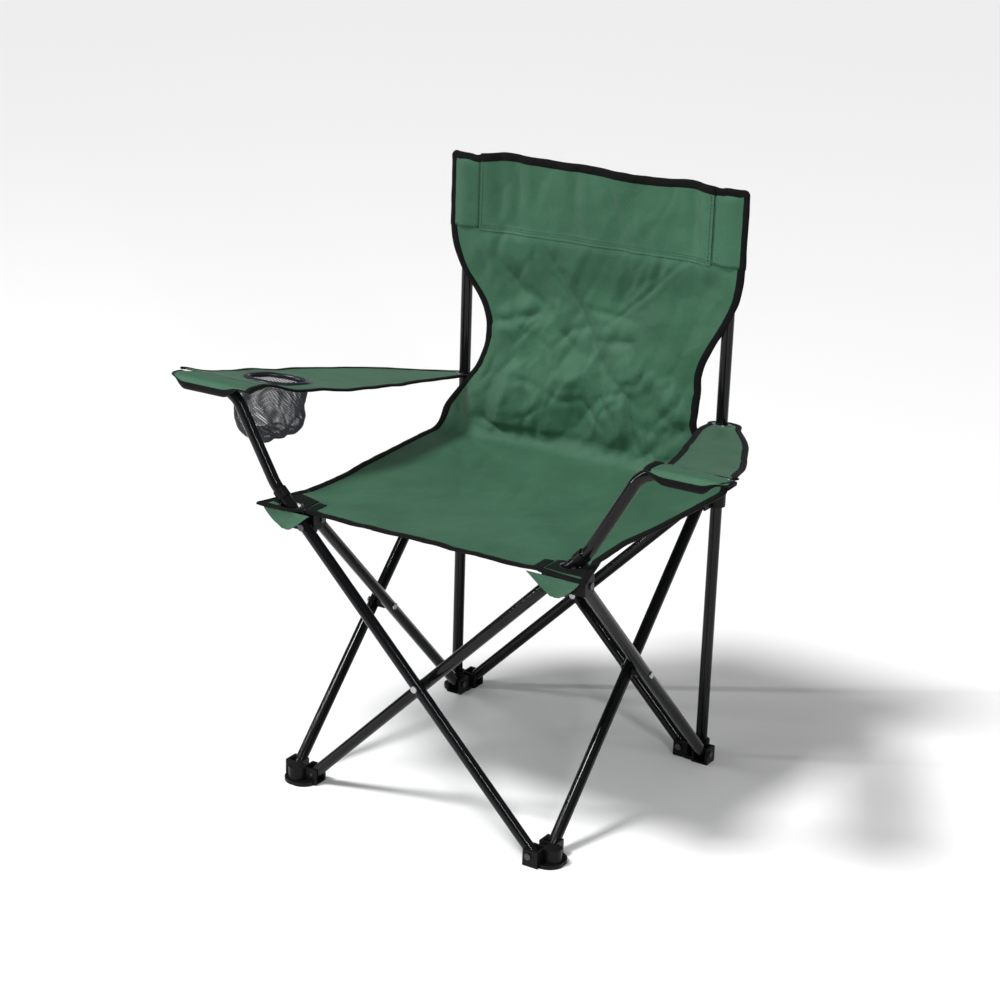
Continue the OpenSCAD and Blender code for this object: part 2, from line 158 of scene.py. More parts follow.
# the folds that show most, as (line, depth, width)
CREASES = [
    (back_line((-75, 690), (-45, 645), (-15, 600), (20, 545), (55, 500)), 5.5, 9),
    (back_line((-145, 665), (-115, 625), (-65, 600)), 4.0, 8),
    (back_line((-150, 573), (-110, 585), (-60, 600)), 3.6, 6),
    (back_line((-60, 600), (-50, 575), (-20, 555)), 3.0, 5),
    (back_line((-12, 612), (30, 607), (78, 604)), 2.6, 4),
    (back_line((138, 702), (75, 640), (15, 585)), 1.6, 3),
    (back_line((12, 570), (65, 575), (90, 515)), 3.8, 6),
    (back_line((62, 540), (75, 465), (98, 415)), 3.6, 5),
    (back_line((150, 512), (98, 458)), 3.2, 6),
    (back_line((160, 478), (118, 436)), 3.2, 6),
    (back_line((178, 452), (146, 425)), 2.4, 6),
    (back_line((-5, 487), (12, 470), (32, 452)), 2.6, 4),
    (back_line((-92, 498), (-84, 465), (-70, 430)), 2.6, 5),
    (back_line((-125, 560), (-118, 540), (-108, 520)), 2.4, 5),
    (back_line((-112, 502), (-72, 494)), 2.2, 4),
    (back_line((-168, 436), (-112, 412)), 2.6, 5),
    (back_line((20, 520), (28, 490), (50, 462)), 3.0, 5),
    (back_line((-40, 500), (-52, 470), (-46, 440)), 2.0, 6),
    (back_line((-125, 798), (-122, 760), (-118, 712)), 3.4, 8),
    (back_line((-35, 798), (-33, 760), (-28, 722)), 2.8, 7),
    (back_line((15, 796), (32, 745), (52, 698)), 2.6, 7),
    (back_line((146, 796), (150, 760), (158, 725)), 3.0, 7),
    (back_line((-90, 700), (-92, 670), (-80, 640)), 2.6, 7),
    (seat_line((-62, -32), (-110, 60), (-155, 130)), 1.5, 9),
    (seat_line((-78, 5), (-98, 90), (-104, 160)), 1.5, 7),
    (seat_line((-70, 5), (-86, 80)), 1.1, 5),
    (seat_line((-22, 92), (24, -45)), 1.3, 8),
    (seat_line((25, -55), (70, -10), (118, 35)), 1.3, 6),
    (seat_line((30, -90), (90, -60), (150, -20)), 0.9, 6),
]


def scattered(count, x_span, s_span, depth, width, length, lean):
    """Seeded short creases in one patch of the cloth."""
    made = []
    for _ in range(count):
        x = rng.uniform(-x_span, x_span)
        s = rng.uniform(*s_span)
        angle = rng.normal(lean, 0.75)
        reach = rng.uniform(0.4, 1.0) * length
        bend = rng.normal(0, 0.25)
        dx, ds = math.cos(angle) * reach / 2, math.sin(angle) * reach / 2
        made.append(([(x - dx, s - ds), (x - bend * ds, s + bend * dx), (x + dx, s + ds)],
                     rng.uniform(0.35, 1.0) * depth, rng.uniform(0.6, 1.3) * width))
    return made


CREASES += scattered(34, 165, (s_of_z(415), s_of_z(575)), 2.2, 4.5, 80, 1.2)
CREASES += scattered(20, 150, (s_of_z(560), s_of_z(700)), 1.8, 5.0, 90, 1.4)
CREASES += scattered(10, 165, (s_of_z(708), s_of_z(798)), 1.3, 5.0, 70, 1.5)
CREASES += scattered(26, 190, (20, S_BEND - 10), 0.9, 6.0, 110, 0.9)
CREASES += scattered(10, 190, (S_BEND - 70, S_BEND + 20), 1.3, 5.0, 70, 1.5)


def crumple(x, s, pitch, stretch, seed):
    """Crumpled cloth: tilted facets that meet along sharp creases, some raised and some sunk."""
    draw = np.random.default_rng(seed)
    total = np.zeros(x.shape)
    for sign in (1, -1):
        best = np.full(x.shape, -1e9)
        for i in range(int(500 / pitch) + 1):
            for j in range(int((S_TOP + 60) / (pitch * stretch)) + 1):
                cx = -250 + (i + draw.uniform(0, 1)) * pitch
                cs = -30 + (j + draw.uniform(0, 1)) * pitch * stretch
                height, slope_x, slope_s = draw.normal(0, 0.28), draw.normal(0, 0.42), draw.normal(0, 0.32)
                dx, ds = (x - cx) / pitch, (s - cs) / (pitch * stretch)
                best = np.maximum(best, height + slope_x * dx + slope_s * ds - 0.75 * (dx * dx + ds * ds))
        total += sign * best
    return total


def smoothstep(t):
    t = np.clip(t, 0, 1)
    return t * t * (3 - 2 * t)


def relief(x, s, u):
    """Height of the cloth off its flat shape, towards the sitter."""
    on_back = np.clip((s - S_BEND) / BEND_LEN, 0, 1)
    head = smoothstep((s - s_of_z(690)) / 24.0)
    h = np.zeros(x.shape)
    for line, depth, width in CREASES:
        h += 1.0 * crease(x, s, line, depth, width)
    lower = on_back * bump(s, s_of_z(478), 100)
    amount = 0.16 + 0.34 * on_back + 0.75 * lower - 0.12 * head
    lean = s + 0.35 * np.abs(x)
    h += amount * 13.0 * crumple(x, lean, 74.0, 1.55, 4)
    h += amount * 6.5 * crumple(x, s - 0.4 * x, 33.0, 1.5, 9)
    h += (0.15 + amount) * 1.0 * crumple(x, s, 15.0, 1.3, 12)
    h *= 0.2 + 0.8 * smoothstep((1 - np.abs(u)) / 0.16)
    # broad shape: the seat dips, the lower back bellies towards the sitter, the upper back hollows
    inside = 1 - u * u
    h -= (1 - on_back) * 8 * inside * np.sin(np.clip(s / S_BEND, 0, 1) * math.pi * 0.86 + 0.32)
    h += 9 * inside * on_back * bump(s, s_of_z(455), 84)
    h -= 15 * inside ** 1.4 * bump(s, s_of_z(618), 66)
    h -= 6.0 * head * smoothstep((STITCH_X - np.abs(x)) / 34.0)
    # the cloth is held flat where it runs on into the sleeves over the posts
    held = smoothstep((s - s_of_z(668)) / 32.0) * smoothstep((np.abs(x) - 146) / 30.0)
    return h * (1 - held)


# ---------------------------------------------------------------- mesh helpers
class Shape:
    """Vertices in millimetres in the chair's own frame, with a material number and normal each face and vertex."""

    def __init__(self):
        self.points, self.faces, self.slots, self.normals = [], [], [], {}

    def add(self, points, faces, slot=0, normals=None):
        base = len(self.points)
        self.points.extend([tuple(map(float, p)) for p in points])
        self.faces.extend([tuple(i + base for i in f) for f in faces])
        self.slots.extend([slot] * len(faces))
        if normals is not None:
            for i, n in enumerate(normals):
                self.normals[base + i] = tuple(map(float, n))

    def make(self, name, materials, body, replaces=(), sharp=40):
        mesh = bpy.data.meshes.new(name)
        mesh.from_pydata([(x * 0.001, (y + SHIFT_Y) * 0.001, z * 0.001) for x, y, z in self.points], [], self.faces)
        for m in materials:
            mesh.materials.append(m)
        mesh.polygons.foreach_set("material_index", self.slots)
        mesh.validate()
        mesh.update()
        obj = bpy.data.objects.new(name, mesh)
        bpy.context.scene.collection.objects.link(obj)
        mesh.shade_smooth()
        mesh.set_sharp_from_angle(angle=math.radians(sharp))
        if self.normals:
            wanted = np.zeros((len(mesh.vertices), 3))
            for i, n in self.normals.items():
                wanted[i] = n
            mesh.normals_split_custom_set_from_vertices([tuple(n) for n in wanted])
        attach(obj, body)
        if replaces:
            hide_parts(*replaces)
        return obj


def unit(v):
    v = np.asarray(v, float)
    length = np.linalg.norm(v, axis=-1, keepdims=True)
    return v / np.maximum(length, 1e-9)


def grid_normals(p):
    """Normals of a grid of points, (rows, columns, 3)."""
    du = np.gradient(p, axis=1)
    ds = np.gradient(p, axis=0)
    return unit(np.cross(du, ds))


def grid_faces(rows, cols, base=0, flip=False, wrap=False):
    made = []
    last = cols if wrap else cols - 1
    for i in range(rows - 1):
        for j in range(last):
            k = (j + 1) % cols
            a, b, c, d = i * cols + j, i * cols + k, (i + 1) * cols + k, (i + 1) * cols + j
            made.append(tuple(base + q for q in ((a, b, c, d) if not flip else (d, c, b, a))))
    return made


def add_sheet(shape, p, n, thick=CLOTH, slot=0, skip=None, back_slot=None):
    """A closed sheet either side of a grid of points p with normals n. skip marks cells left open, as a hole."""
    rows, cols = p.shape[:2]
    top, low = p + n * thick / 2, p - n * thick / 2
    count = rows * cols
    front = grid_faces(rows, cols)
    rear = grid_faces(rows, cols, count, flip=True)
    keep = [True] * len(front)
    if skip is not None:
        keep = [not skip(i // (cols - 1), i % (cols - 1)) for i in range(len(front))]
    front = [f for f, k in zip(front, keep) if k]
    rear = [f for f, k in zip(rear, keep) if k]
    uses = {}
    for f in front:
        for a, b in zip(f, f[1:] + f[:1]):
            uses[(a, b)] = 1
    rim = [(b, a, a + count, b + count) for a, b in uses if (b, a) not in uses]
    used = sorted({i for f in front for i in f})
    index = {v: i for i, v in enumerate(used)}
    half = len(used)
    remap = lambda f: tuple(index[i] if i < count else index[i - count] + half for i in f)
    points = [top.reshape(-1, 3)[i] for i in used] + [low.reshape(-1, 3)[i] for i in used]
    flat_n = n.reshape(-1, 3)
    normals = [flat_n[i] for i in used] + [-flat_n[i] for i in used]
    base = len(shape.points)
    shape.add(points, [remap(f) for f in front], slot, normals)
    for group, s in ((rear, slot if back_slot is None else back_slot), (rim, slot)):
        shape.faces.extend([tuple(i + base for i in remap(f)) for f in group])
        shape.slots.extend([s] * len(group))


def sweep(shape, centres, outs, ups, profile, slot, closed_ends=True, grow=None):
    """A profile of (out, up) pairs carried along a line."""
    centres, outs, ups = np.asarray(centres, float), unit(outs), unit(ups)
    n, m = len(centres), len(profile)
    grow = np.ones(n) if grow is None else grow
    pts, nor = [], []
    for i in range(n):
        for j, (o, u) in enumerate(profile):
            pts.append(centres[i] + outs[i] * o * grow[i] + ups[i] * u * grow[i])
            before, after = profile[j - 1], profile[(j + 1) % m]
            t = np.array([after[0] - before[0], after[1] - before[1]])
            nor.append(unit(outs[i] * t[1] - ups[i] * t[0]))
    faces = grid_faces(n, m, wrap=True)
    # the profile runs so that its normals point outwards; turn the faces to agree
    a, b, c = (np.array(pts[k]) for k in faces[0][:3])
    if np.dot(np.cross(b - a, c - b), nor[faces[0][0]]) < 0:
        faces = [f[::-1] for f in faces]
        first, last = tuple(range(m)), tuple(range((n - 1) * m, n * m))[::-1]
    else:
        first, last = tuple(range(m))[::-1], tuple(range((n - 1) * m, n * m))
    if closed_ends:
        faces = faces + [first, last]
    shape.add(pts, faces, slot, nor)


def tape_profile(width, thick):
    """Cross-section of a folded binding tape: fat at the fold, thin at its stitched edge."""
    made = []
    for k in range(12):
        a = 2 * math.pi * k / 12
        o = math.copysign(abs(math.cos(a)) ** 0.75, math.cos(a)) * width / 2
        u = math.copysign(abs(math.sin(a)) ** 0.6, math.sin(a)) * thick / 2
        made.append((o, u * (1.0 if o > 0 else 0.82)))
    return made


TAPE = tape_profile(11.0, 4.2)
TAPE_IN = 4.1  # how far the middle of the tape lies inside the cloth's edge


def add_tape(shape, edge, normals, outward, slot=1, seed=1.0, profile=TAPE, inset=TAPE_IN, start=0.0):
    """Binding tape along an edge; its width wavers a little, as sewn tape does."""
    edge, outward = np.asarray(edge, float), unit(outward)
    run = start + np.concatenate([[0], np.cumsum(np.linalg.norm(np.diff(edge, axis=0), axis=1))])
    waver = np.array([noise.noise(Vector((r / 23.0, seed, 0.5))) for r in run])
    lift = np.array([noise.noise(Vector((r / 17.0, seed, 4.5))) for r in run])
    normals = unit(normals)
    centres = edge - outward * inset + outward * waver[:, None] * 0.5 + normals * lift[:, None] * 0.25
    sweep(shape, centres, outward, normals, profile, slot, grow=1 + 0.06 * waver)


def add_stitches(shape, line, normals, slot=2, long=3.4, gap=1.5, radius=0.45, side=None):
    """A row of thread stitches lying on the cloth along a line."""
    line = np.asarray(line, float)
    normals = unit(normals)
    run = np.concatenate([[0], np.cumsum(np.linalg.norm(np.diff(line, axis=0), axis=1))])
    at = lambda d: np.array([np.interp(d, run, line[:, k]) for k in range(3)])
    up = lambda d: unit(np.array([np.interp(d, run, normals[:, k]) for k in range(3)]))
    d = gap
    while d + long < run[-1]:
        a, b, n = at(d), at(d + long), up(d + long / 2)
        along = unit(b - a)
        across = unit(np.cross(n, along))
        mid = (a + b) / 2 + n * radius * 0.9
        pts = [a, mid + across * radius, b, mid - across * radius, mid + n * radius * 0.7, mid - n * radius * 1.2]
        shape.add(pts, [(0, 1, 4), (1, 2, 4), (2, 3, 4), (3, 0, 4), (1, 0, 5), (2, 1, 5), (3, 2, 5), (0, 3, 5)], slot,
                  [-along + n, across + n * 0.5, along + n, -across + n * 0.5, n, -n])
        d += long + gap


# ---------------------------------------------------------------- materials
def new_material(name):
    m = bpy.data.materials.new(name)
    m.use_nodes = True
    nodes = m.node_tree.nodes
    return m, nodes, m.node_tree.links, nodes["Principled BSDF"]


def add_node(nodes, kind, **values):
    n = nodes.new(kind)
    for key, value in values.items():
        if key in n.inputs:
            n.inputs[key].default_value = value
        else:
            setattr(n, key, value)
    return n


def ramp(nodes, links, source, low, high, dark, light):
    r = nodes.new("ShaderNodeValToRGB")
    r.color_ramp.elements[0].position, r.color_ramp.elements[1].position = low, high
    r.color_ramp.elements[0].color, r.color_ramp.elements[1].color = (*dark, 1), (*light, 1)
    links.new(source, r.inputs["Fac"])
    return r.outputs["Color"]


def woven(nodes, links, pitch):
    """Plain weave height: threads run across X and along Y and Z together, so it follows both seat and back."""
    where = nodes.new("ShaderNodeTexCoord").outputs["Object"]
    split = nodes.new("ShaderNodeSeparateXYZ")
    links.new(where, split.inputs[0])
    run = add_node(nodes, "ShaderNodeMath", operation="ADD")
    links.new(split.outputs["Y"], run.inputs[0])
    links.new(split.outputs["Z"], run.inputs[1])
    waves = []
    for source in (split.outputs["X"], run.outputs[0]):
        scale = add_node(nodes, "ShaderNodeMath", operation="MULTIPLY")
        scale.inputs[1].default_value = math.pi / pitch
        links.new(source, scale.inputs[0])
        wave = add_node(nodes, "ShaderNodeMath", operation="SINE")
        links.new(scale.outputs[0], wave.inputs[0])
        waves.append(wave.outputs[0])
    product = add_node(nodes, "ShaderNodeMath", operation="MULTIPLY")
    links.new(waves[0], product.inputs[0])
    links.new(waves[1], product.inputs[1])
    return where, product.outputs[0]


def chain_bump(nodes, links, heights, shader):
    """Bumps one on top of the other: (height socket, strength, distance in metres)."""
    last = None
    for height, strength, distance in heights:
        b = add_node(nodes, "ShaderNodeBump", Strength=strength, Distance=distance)
        links.new(height, b.inputs["Height"])
        if last is not None:
            links.new(last, b.inputs["Normal"])
        last = b.outputs["Normal"]
    links.new(last, shader.inputs["Normal"])


def mix_by(nodes, links, factor, a, b, kind="MIX"):
    m = nodes.new("ShaderNodeMix")
    m.data_type, m.blend_type = "RGBA", kind
    if isinstance(factor, float):
        m.inputs[0].default_value = factor
    else:
        links.new(factor, m.inputs[0])
    links.new(a, m.inputs[6])
    links.new(b, m.inputs[7])
    return m.outputs[2]


def cloth_material(name, dark, light, rough, pitch, weave, crinkle=0.5):
    m, nodes, links, shader = new_material(name)
    where, weave_height = woven(nodes, links, pitch)
    cloud = add_node(nodes, "ShaderNodeTexNoise", Scale=9.0, Detail=6.0, Roughness=0.62)
    fibre = add_node(nodes, "ShaderNodeTexNoise", Scale=420.0, Detail=3.0, Roughness=0.7)
    folds = add_node(nodes, "ShaderNodeTexNoise", Scale=48.0, Detail=4.0, Roughness=0.55)
    for n in (cloud, fibre, folds):
        links.new(where, n.inputs["Vector"])
    broad = ramp(nodes, links, cloud.outputs["Fac"], 0.32, 0.72, dark, light)
    speck = ramp(nodes, links, fibre.outputs["Fac"], 0.3, 0.75, (0.86, 0.86, 0.86), (1.1, 1.1, 1.1))
    colour = mix_by(nodes, links, 1.0, broad, speck, "MULTIPLY")
    # painted shade and highlight of the weave: the colour is darker in the weave's troughs and lighter on its raised
    # threads
    thread = ramp(nodes, links, weave_height, 0.0, 1.0, (0.93, 0.93, 0.93), (1.05, 1.05, 1.05))
    links.new(mix_by(nodes, links, 1.0, colour, thread, "MULTIPLY"), shader.inputs["Base Color"])
    gloss = add_node(nodes, "ShaderNodeMapRange")
    gloss.inputs["To Min"].default_value, gloss.inputs["To Max"].default_value = rough - 0.07, rough + 0.08
    links.new(cloud.outputs["Fac"], gloss.inputs["Value"])
    links.new(gloss.outputs[0], shader.inputs["Roughness"])
    shader.inputs["Specular IOR Level"].default_value = 0.26
    shader.inputs["Sheen Weight"].default_value = 0.06
    shader.inputs["Sheen Roughness"].default_value = 0.5
    chain_bump(nodes, links, [(folds.outputs["Fac"], crinkle, 0.0012), (weave_height, weave, 0.00022),
                              (fibre.outputs["Fac"], 0.25, 0.00015)], shader)
    return m


def paint_material(name, base, rough, grain, shine, scale):
    m, nodes, links, shader = new_material(name)
    where = nodes.new("ShaderNodeTexCoord").outputs["Object"]
    fine = add_node(nodes, "ShaderNodeTexNoise", Scale=scale, Detail=4.0, Roughness=0.6)
    broad = add_node(nodes, "ShaderNodeTexNoise", Scale=14.0, Detail=5.0, Roughness=0.6)
    for n in (fine, broad):
        links.new(where, n.inputs["Vector"])
    links.new(ramp(nodes, links, broad.outputs["Fac"], 0.3, 0.75, base, tuple(c * 1.7 + 0.0012 for c in base)),
              shader.inputs["Base Color"])
    gloss = add_node(nodes, "ShaderNodeMapRange")
    gloss.inputs["To Min"].default_value, gloss.inputs["To Max"].default_value = rough * 0.8, rough * 1.25
    links.new(broad.outputs["Fac"], gloss.inputs["Value"])
    links.new(gloss.outputs[0], shader.inputs["Roughness"])
    shader.inputs["Specular IOR Level"].default_value = shine
    chain_bump(nodes, links, [(fine.outputs["Fac"], grain, 0.0002)], shader)
    return m


def ribbed_material(name, base, rough, pitch):
    """Black binding tape and webbing: fine ribs with a soft fibre shine, the rib tops painted lighter and the grooves
    darker as painted highlight and shade.
    """
    m, nodes, links, shader = new_material(name)
    where, weave_height = woven(nodes, links, pitch)
    fibre = add_node(nodes, "ShaderNodeTexNoise", Scale=300.0, Detail=3.0, Roughness=0.65)
    wear = add_node(nodes, "ShaderNodeTexNoise", Scale=30.0, Detail=4.0, Roughness=0.6)
    for n in (fibre, wear):
        links.new(where, n.inputs["Vector"])
    # painted highlight and shade of the ribs: lighter on the rib tops, darker in the grooves
    ribs = ramp(nodes, links, weave_height, 0.0, 1.0, base, tuple(c * 2.0 + 0.0015 for c in base))
    dust = ramp(nodes, links, wear.outputs["Fac"], 0.35, 0.8, (0.8, 0.8, 0.8), (1.35, 1.35, 1.35))
    links.new(mix_by(nodes, links, 1.0, ribs, dust, "MULTIPLY"), shader.inputs["Base Color"])
    shader.inputs["Roughness"].default_value = rough
    shader.inputs["Sheen Weight"].default_value = 0.02
    shader.inputs["Specular IOR Level"].default_value = 0.07
    chain_bump(nodes, links, [(weave_height, 0.6, 0.0003), (fibre.outputs["Fac"], 0.3, 0.0002)], shader)
    return m


def metal_material(name, base, rough):
    m, nodes, links, shader = new_material(name)
    where = nodes.new("ShaderNodeTexCoord").outputs["Object"]
    scratch = add_node(nodes, "ShaderNodeTexNoise", Scale=600.0, Detail=4.0, Roughness=0.7)
    tarnish = add_node(nodes, "ShaderNodeTexNoise", Scale=70.0, Detail=4.0, Roughness=0.6)
    for n in (scratch, tarnish):
        links.new(where, n.inputs["Vector"])
    links.new(ramp(nodes, links, tarnish.outputs["Fac"], 0.3, 0.7, tuple(c * 0.7 for c in base), base),
              shader.inputs["Base Color"])
    shader.inputs["Metallic"].default_value = 1.0
    gloss = add_node(nodes, "ShaderNodeMapRange")
    gloss.inputs["To Min"].default_value, gloss.inputs["To Max"].default_value = rough * 0.8, rough * 1.5
    links.new(tarnish.outputs["Fac"], gloss.inputs["Value"])
    links.new(gloss.outputs[0], shader.inputs["Roughness"])
    chain_bump(nodes, links, [(scratch.outputs["Fac"], 0.25, 0.0001)], shader)
    return m


GREEN = cloth_material("green_oxford", (0.024, 0.090, 0.047), (0.038, 0.124, 0.069), 0.52, 0.0011, 0.5)
BINDING = ribbed_material("black_binding", (0.0022, 0.0022, 0.0026), 0.6, 0.0009)
WEBBING = ribbed_material("black_webbing", (0.003, 0.0045, 0.004), 0.5, 0.0016)
THREAD = cloth_material("green_thread", (0.035, 0.10, 0.06), (0.06, 0.15, 0.09), 0.6, 0.0006, 0.3)
RIM = paint_material("cup_rim", (0.006, 0.007, 0.012), 0.30, 0.5, 0.42, 240.0)
STEEL = paint_material("black_steel", (0.0022, 0.0022, 0.0028), 0.09, 0.08, 0.2, 90.0)
PLASTIC = paint_material("black_plastic", (0.0035, 0.0035, 0.0038), 0.34, 0.5, 0.11, 420.0)
BRIGHT = metal_material("bright_steel", (0.50, 0.51, 0.53), 0.26)
DARK_METAL = metal_material("dark_steel", (0.10, 0.10, 0.11), 0.32)
NET = cloth_material("grey_net", (0.02, 0.023, 0.03), (0.07, 0.078, 0.09), 0.5, 0.0004, 0.4, 0.2)
CLOTHS = [GREEN, BINDING, THREAD, WEBBING]


# ---------------------------------------------------------------- seat and back
def surface(s, x_grid, u_grid, raise_by=0.0):
    y, z, ny, nz = on_path(s)
    h = relief(x_grid, s, u_grid) + raise_by
    return np.stack([x_grid, y + ny * h, z + nz * h], axis=-1)


def rows_between(a, b, step):
    return list(np.linspace(a, b, max(2, int(round((b - a) / step)) + 1))[:-1])


STEP = 3.9
S_SEAT_CUT, S_WAIST, S_HEADER = s_of_y(SEAT_CUT_Y), s_of_z(WAIST_CUT_Z), s_of_z(HEADER_Z)
cuts = [0.0, S_SEAT_CUT, S_BEND, S_WAIST, S_HEADER]
rows, cut_rows = [], [0]
for a, b in zip(cuts, cuts[1:]):
    rows += rows_between(a, b, STEP)
    cut_rows.append(len(rows))
rows = np.array(rows + [S_HEADER])
columns = int(round(452 / STEP)) + 1
u_line = np.linspace(-1, 1, columns)
u_all = np.repeat(u_line[None, :], len(rows), axis=0)
x_all = u_all * np.where(u_all > 0, half_width(rows, 1)[:, None], half_width(rows, -1)[:, None])
s_all = np.repeat(rows[:, None], columns, axis=1)
cloth_all = surface(s_all, x_all, u_all)
normal_all = grid_normals(cloth_all)


def side_tape(shape, p, n, s_values, first=0):
    """Binding on both side edges of a grid."""
    for j, inner, seed in ((0, 1, 1.0), (-1, -2, 2.0)):
        add_tape(shape, p[first:, j], n[first:, j], p[first:, j] - p[first:, inner], seed=seed, start=s_values[first])


def piece_of_cloth(i0, i1):
    return cloth_all[i0:i1 + 1], normal_all[i0:i1 + 1], rows[i0:i1 + 1]


def squash_x(obj):
    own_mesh(obj)


p, n, s_here = piece_of_cloth(cut_rows[0], cut_rows[1])
seat_front = Shape()
add_sheet(seat_front, p, n)
side_tape(seat_front, p, n, s_here, first=int(np.argmax(s_here >= s_of_y(-156))))
add_tape(seat_front, p[0], n[0], p[0] - p[1], seed=3.0)
# webbing sewn on the seat beside each corner
for side in (-1, 1):
    near = [j for j in range(columns) if 163 <= side * p[0, j, 0] <= 178.5]
    band = [i for i in range(len(s_here)) if 6 <= s_here[i] <= 36]
    patch = p[np.ix_(band, near)] + n[np.ix_(band, near)] * 1.1
    add_sheet(seat_front, patch, n[np.ix_(band, near)], thick=1.2, slot=3)
seat_front_obj = seat_front.make("seat_cloth_front", CLOTHS, "seat_front", ["seat_front"])
squash_x(seat_front_obj)

p, n, s_here = piece_of_cloth(cut_rows[1], cut_rows[2])
seat_rear = Shape()
add_sheet(seat_rear, p, n)
side_tape(seat_rear, p, n, s_here)
seat_rear_obj = seat_rear.make("seat_cloth_rear", CLOTHS, "seat_rear", ["seat_rear"])
squash_x(seat_rear_obj)

p, n, s_here = piece_of_cloth(cut_rows[2], cut_rows[3])
back_low = Shape()
add_sheet(back_low, p, n)
side_tape(back_low, p, n, s_here)
back_low_obj = back_low.make("back_cloth_lower", CLOTHS, "hub_rear_right", ["back_lower"])
squash_x(back_low_obj)

p, n, s_here = piece_of_cloth(cut_rows[3], cut_rows[4])
back_up = Shape()
add_sheet(back_up, p, n)
side_tape(back_up, p, n, s_here)
# the hem across the top is doubled, so it stands a little proud and has two rows of stitches
head_rows = np.array(rows_between(S_HEADER - 1.5, S_TOP, STEP) + [S_TOP])
head_cols = int(round(2 * STITCH_X / STEP)) + 1
head_x = np.repeat(np.linspace(-STITCH_X, STITCH_X, head_cols)[None, :], len(head_rows), axis=0)
# the top edge is a little uneven
top_wave = sum(rise * bump(head_x, at, wide) for rise, at, wide in
               ((5.5, -140, 34), (3.5, -85, 45), (3.0, -15, 50), (-1.0, 66, 30), (3.2, 140, 30)))
head_share = (head_rows[:, None] - S_HEADER) / (S_TOP - S_HEADER)
head_s = head_rows[:, None] + top_wave * np.clip(head_share, 0, 1) ** 2
head = surface(head_s, head_x, head_x / 222.0, raise_by=0.9)
head_n = grid_normals(head)
add_sheet(back_up, head, head_n, thick=2.2)
top_dip = np.stack([head[-1, :, 0], head[-1, :, 1], head[-1, :, 2]], axis=-1)
add_tape(back_up, top_dip, head_n[-1], head[-1] - head[-2], seed=5.0, profile=tape_profile(12.0, 5.4), inset=3.0)
for share in (0.0, 0.75):
    add_stitches(back_up, head[1] * (1 - share) + head[2] * share + head_n[1] * 1.1, head_n[1])
for side_col in (1, -2):
    add_stitches(back_up, head[1:, side_col] + head_n[1:, side_col] * 1.1, head_n[1:, side_col])
back_up_obj = back_up.make("back_cloth_upper", CLOTHS, "foot_rear_right", ["back_upper"])
squash_x(back_up_obj)


# ---------------------------------------------------------------- sleeves over the back posts
def post_sleeve(side, name, body, node):
    """A closed sleeve round the top of a post: flat in front, pinched to its outer seam, shut above the post."""
    shape = Shape()
    heights = np.array(rows_between(HEADER_Z, TOP_Z, 4.0) + [TOP_Z])
    front = [(STITCH_X, BACK_Y - 1.2), (184, BACK_Y - 1.7), (191, BACK_Y - 2.6), (197, BACK_Y - 3.4), (203, BACK_Y - 3.8),
             (209, BACK_Y - 3.2), (215, BACK_Y - 1.7), (220, BACK_Y + 0.2), (225, BACK_Y + 1.6)]
    rear = [(224.5, BACK_Y + 3.0), (220, 201.0), (215.5, 206.5), (210.5, 211.3), (203, 213.2), (195.5, 211.3), (190, 206.0),
            (184, 199.4), (STITCH_X, BACK_Y + 1.6)]
    loop = np.array(front + rear)
    middle = np.array([203.0, 199.0])
    grid = []
    for z in heights:
        shut = np.clip((z - 789.0) / 11.0, 0, 1) ** 1.5
        ring = []
        for k, (x, y) in enumerate(loop):
            w = noise.noise(Vector((k * 0.55, z / 21.0, 3.0 * side))) * 1.4 * (0.3 + 0.7 * (abs(x - 201) < 18))
            flat_y = BACK_Y + 0.5 + (2.4 if k >= len(front) else -0.4)
            y_here = y * (1 - shut) + flat_y * shut
            outward = np.sign(y_here - middle[1])
            ring.append((side * x, y_here + (w * 0.8 if k >= len(front) else -abs(w) * 0.7), z))
        grid.append(ring)
    grid = np.array(grid)
    m = grid.shape[1]
    faces = grid_faces(len(heights), m, wrap=True, flip=side < 0)
    low, high = tuple(range(m)), tuple(range((len(heights) - 1) * m, len(heights) * m))
    faces += [low[::-1] if side > 0 else low, high if side > 0 else high[::-1]]
    shape.add(grid.reshape(-1, 3), faces, 0)
    # outer binding, turning in over the top to meet the middle of the back
    up = [(side * 225.2, BACK_Y + 1.9, z) for z in np.arange(HEADER_Z - 0.5, TOP_Z - 5, 6.0)]
    corner = [(side * (225.2 - 6.0 * (1 - math.cos(a))), BACK_Y + 1.6, TOP_Z - 4.5 + 6.5 * math.sin(a))
              for a in np.linspace(0.2, math.pi / 2, 5)]
    over = [(side * x, BACK_Y + 0.4, TOP_Z + 1.8 - 2.0 * bump(x, 186.0, 6.0)) for x in np.arange(213.0, STITCH_X - 1, -5.0)]
    line = np.array(up + corner + over)
    line = np.vstack([line, [side * (STITCH_X - 0.5), line[-1][1], line[-1][2]]])
    tangent = unit(np.gradient(line, axis=0))
    facing = np.tile([0.0, -1.0, 0.0], (len(line), 1))
    outward = unit(np.cross(tangent, facing) * side)
    sign = 1.0 if outward[0][0] * side > 0 else -1.0
    add_tape(shape, line, facing, outward * sign, seed=6.0 + side, profile=tape_profile(11.5, 5.4))
    stitch = np.array([(side * (STITCH_X + 2.2), BACK_Y - 1.6, z) for z in np.arange(HEADER_Z + 2, TOP_Z - 6, 3.0)])
    add_stitches(shape, stitch, np.tile([0.0, -1.0, 0.0], (len(stitch), 1)))
    seam = np.array([(side * x, BACK_Y - 2.6 + (0.5 if x > 212 or x < 190 else 0), HEADER_Z + 3.2) for x in np.arange(180, 220, 3.0)])
    add_stitches(shape, seam, np.tile([0.0, -1.0, 0.0], (len(seam), 1)))
    obj = shape.make(name, CLOTHS, body, [node], sharp=60)
    return obj


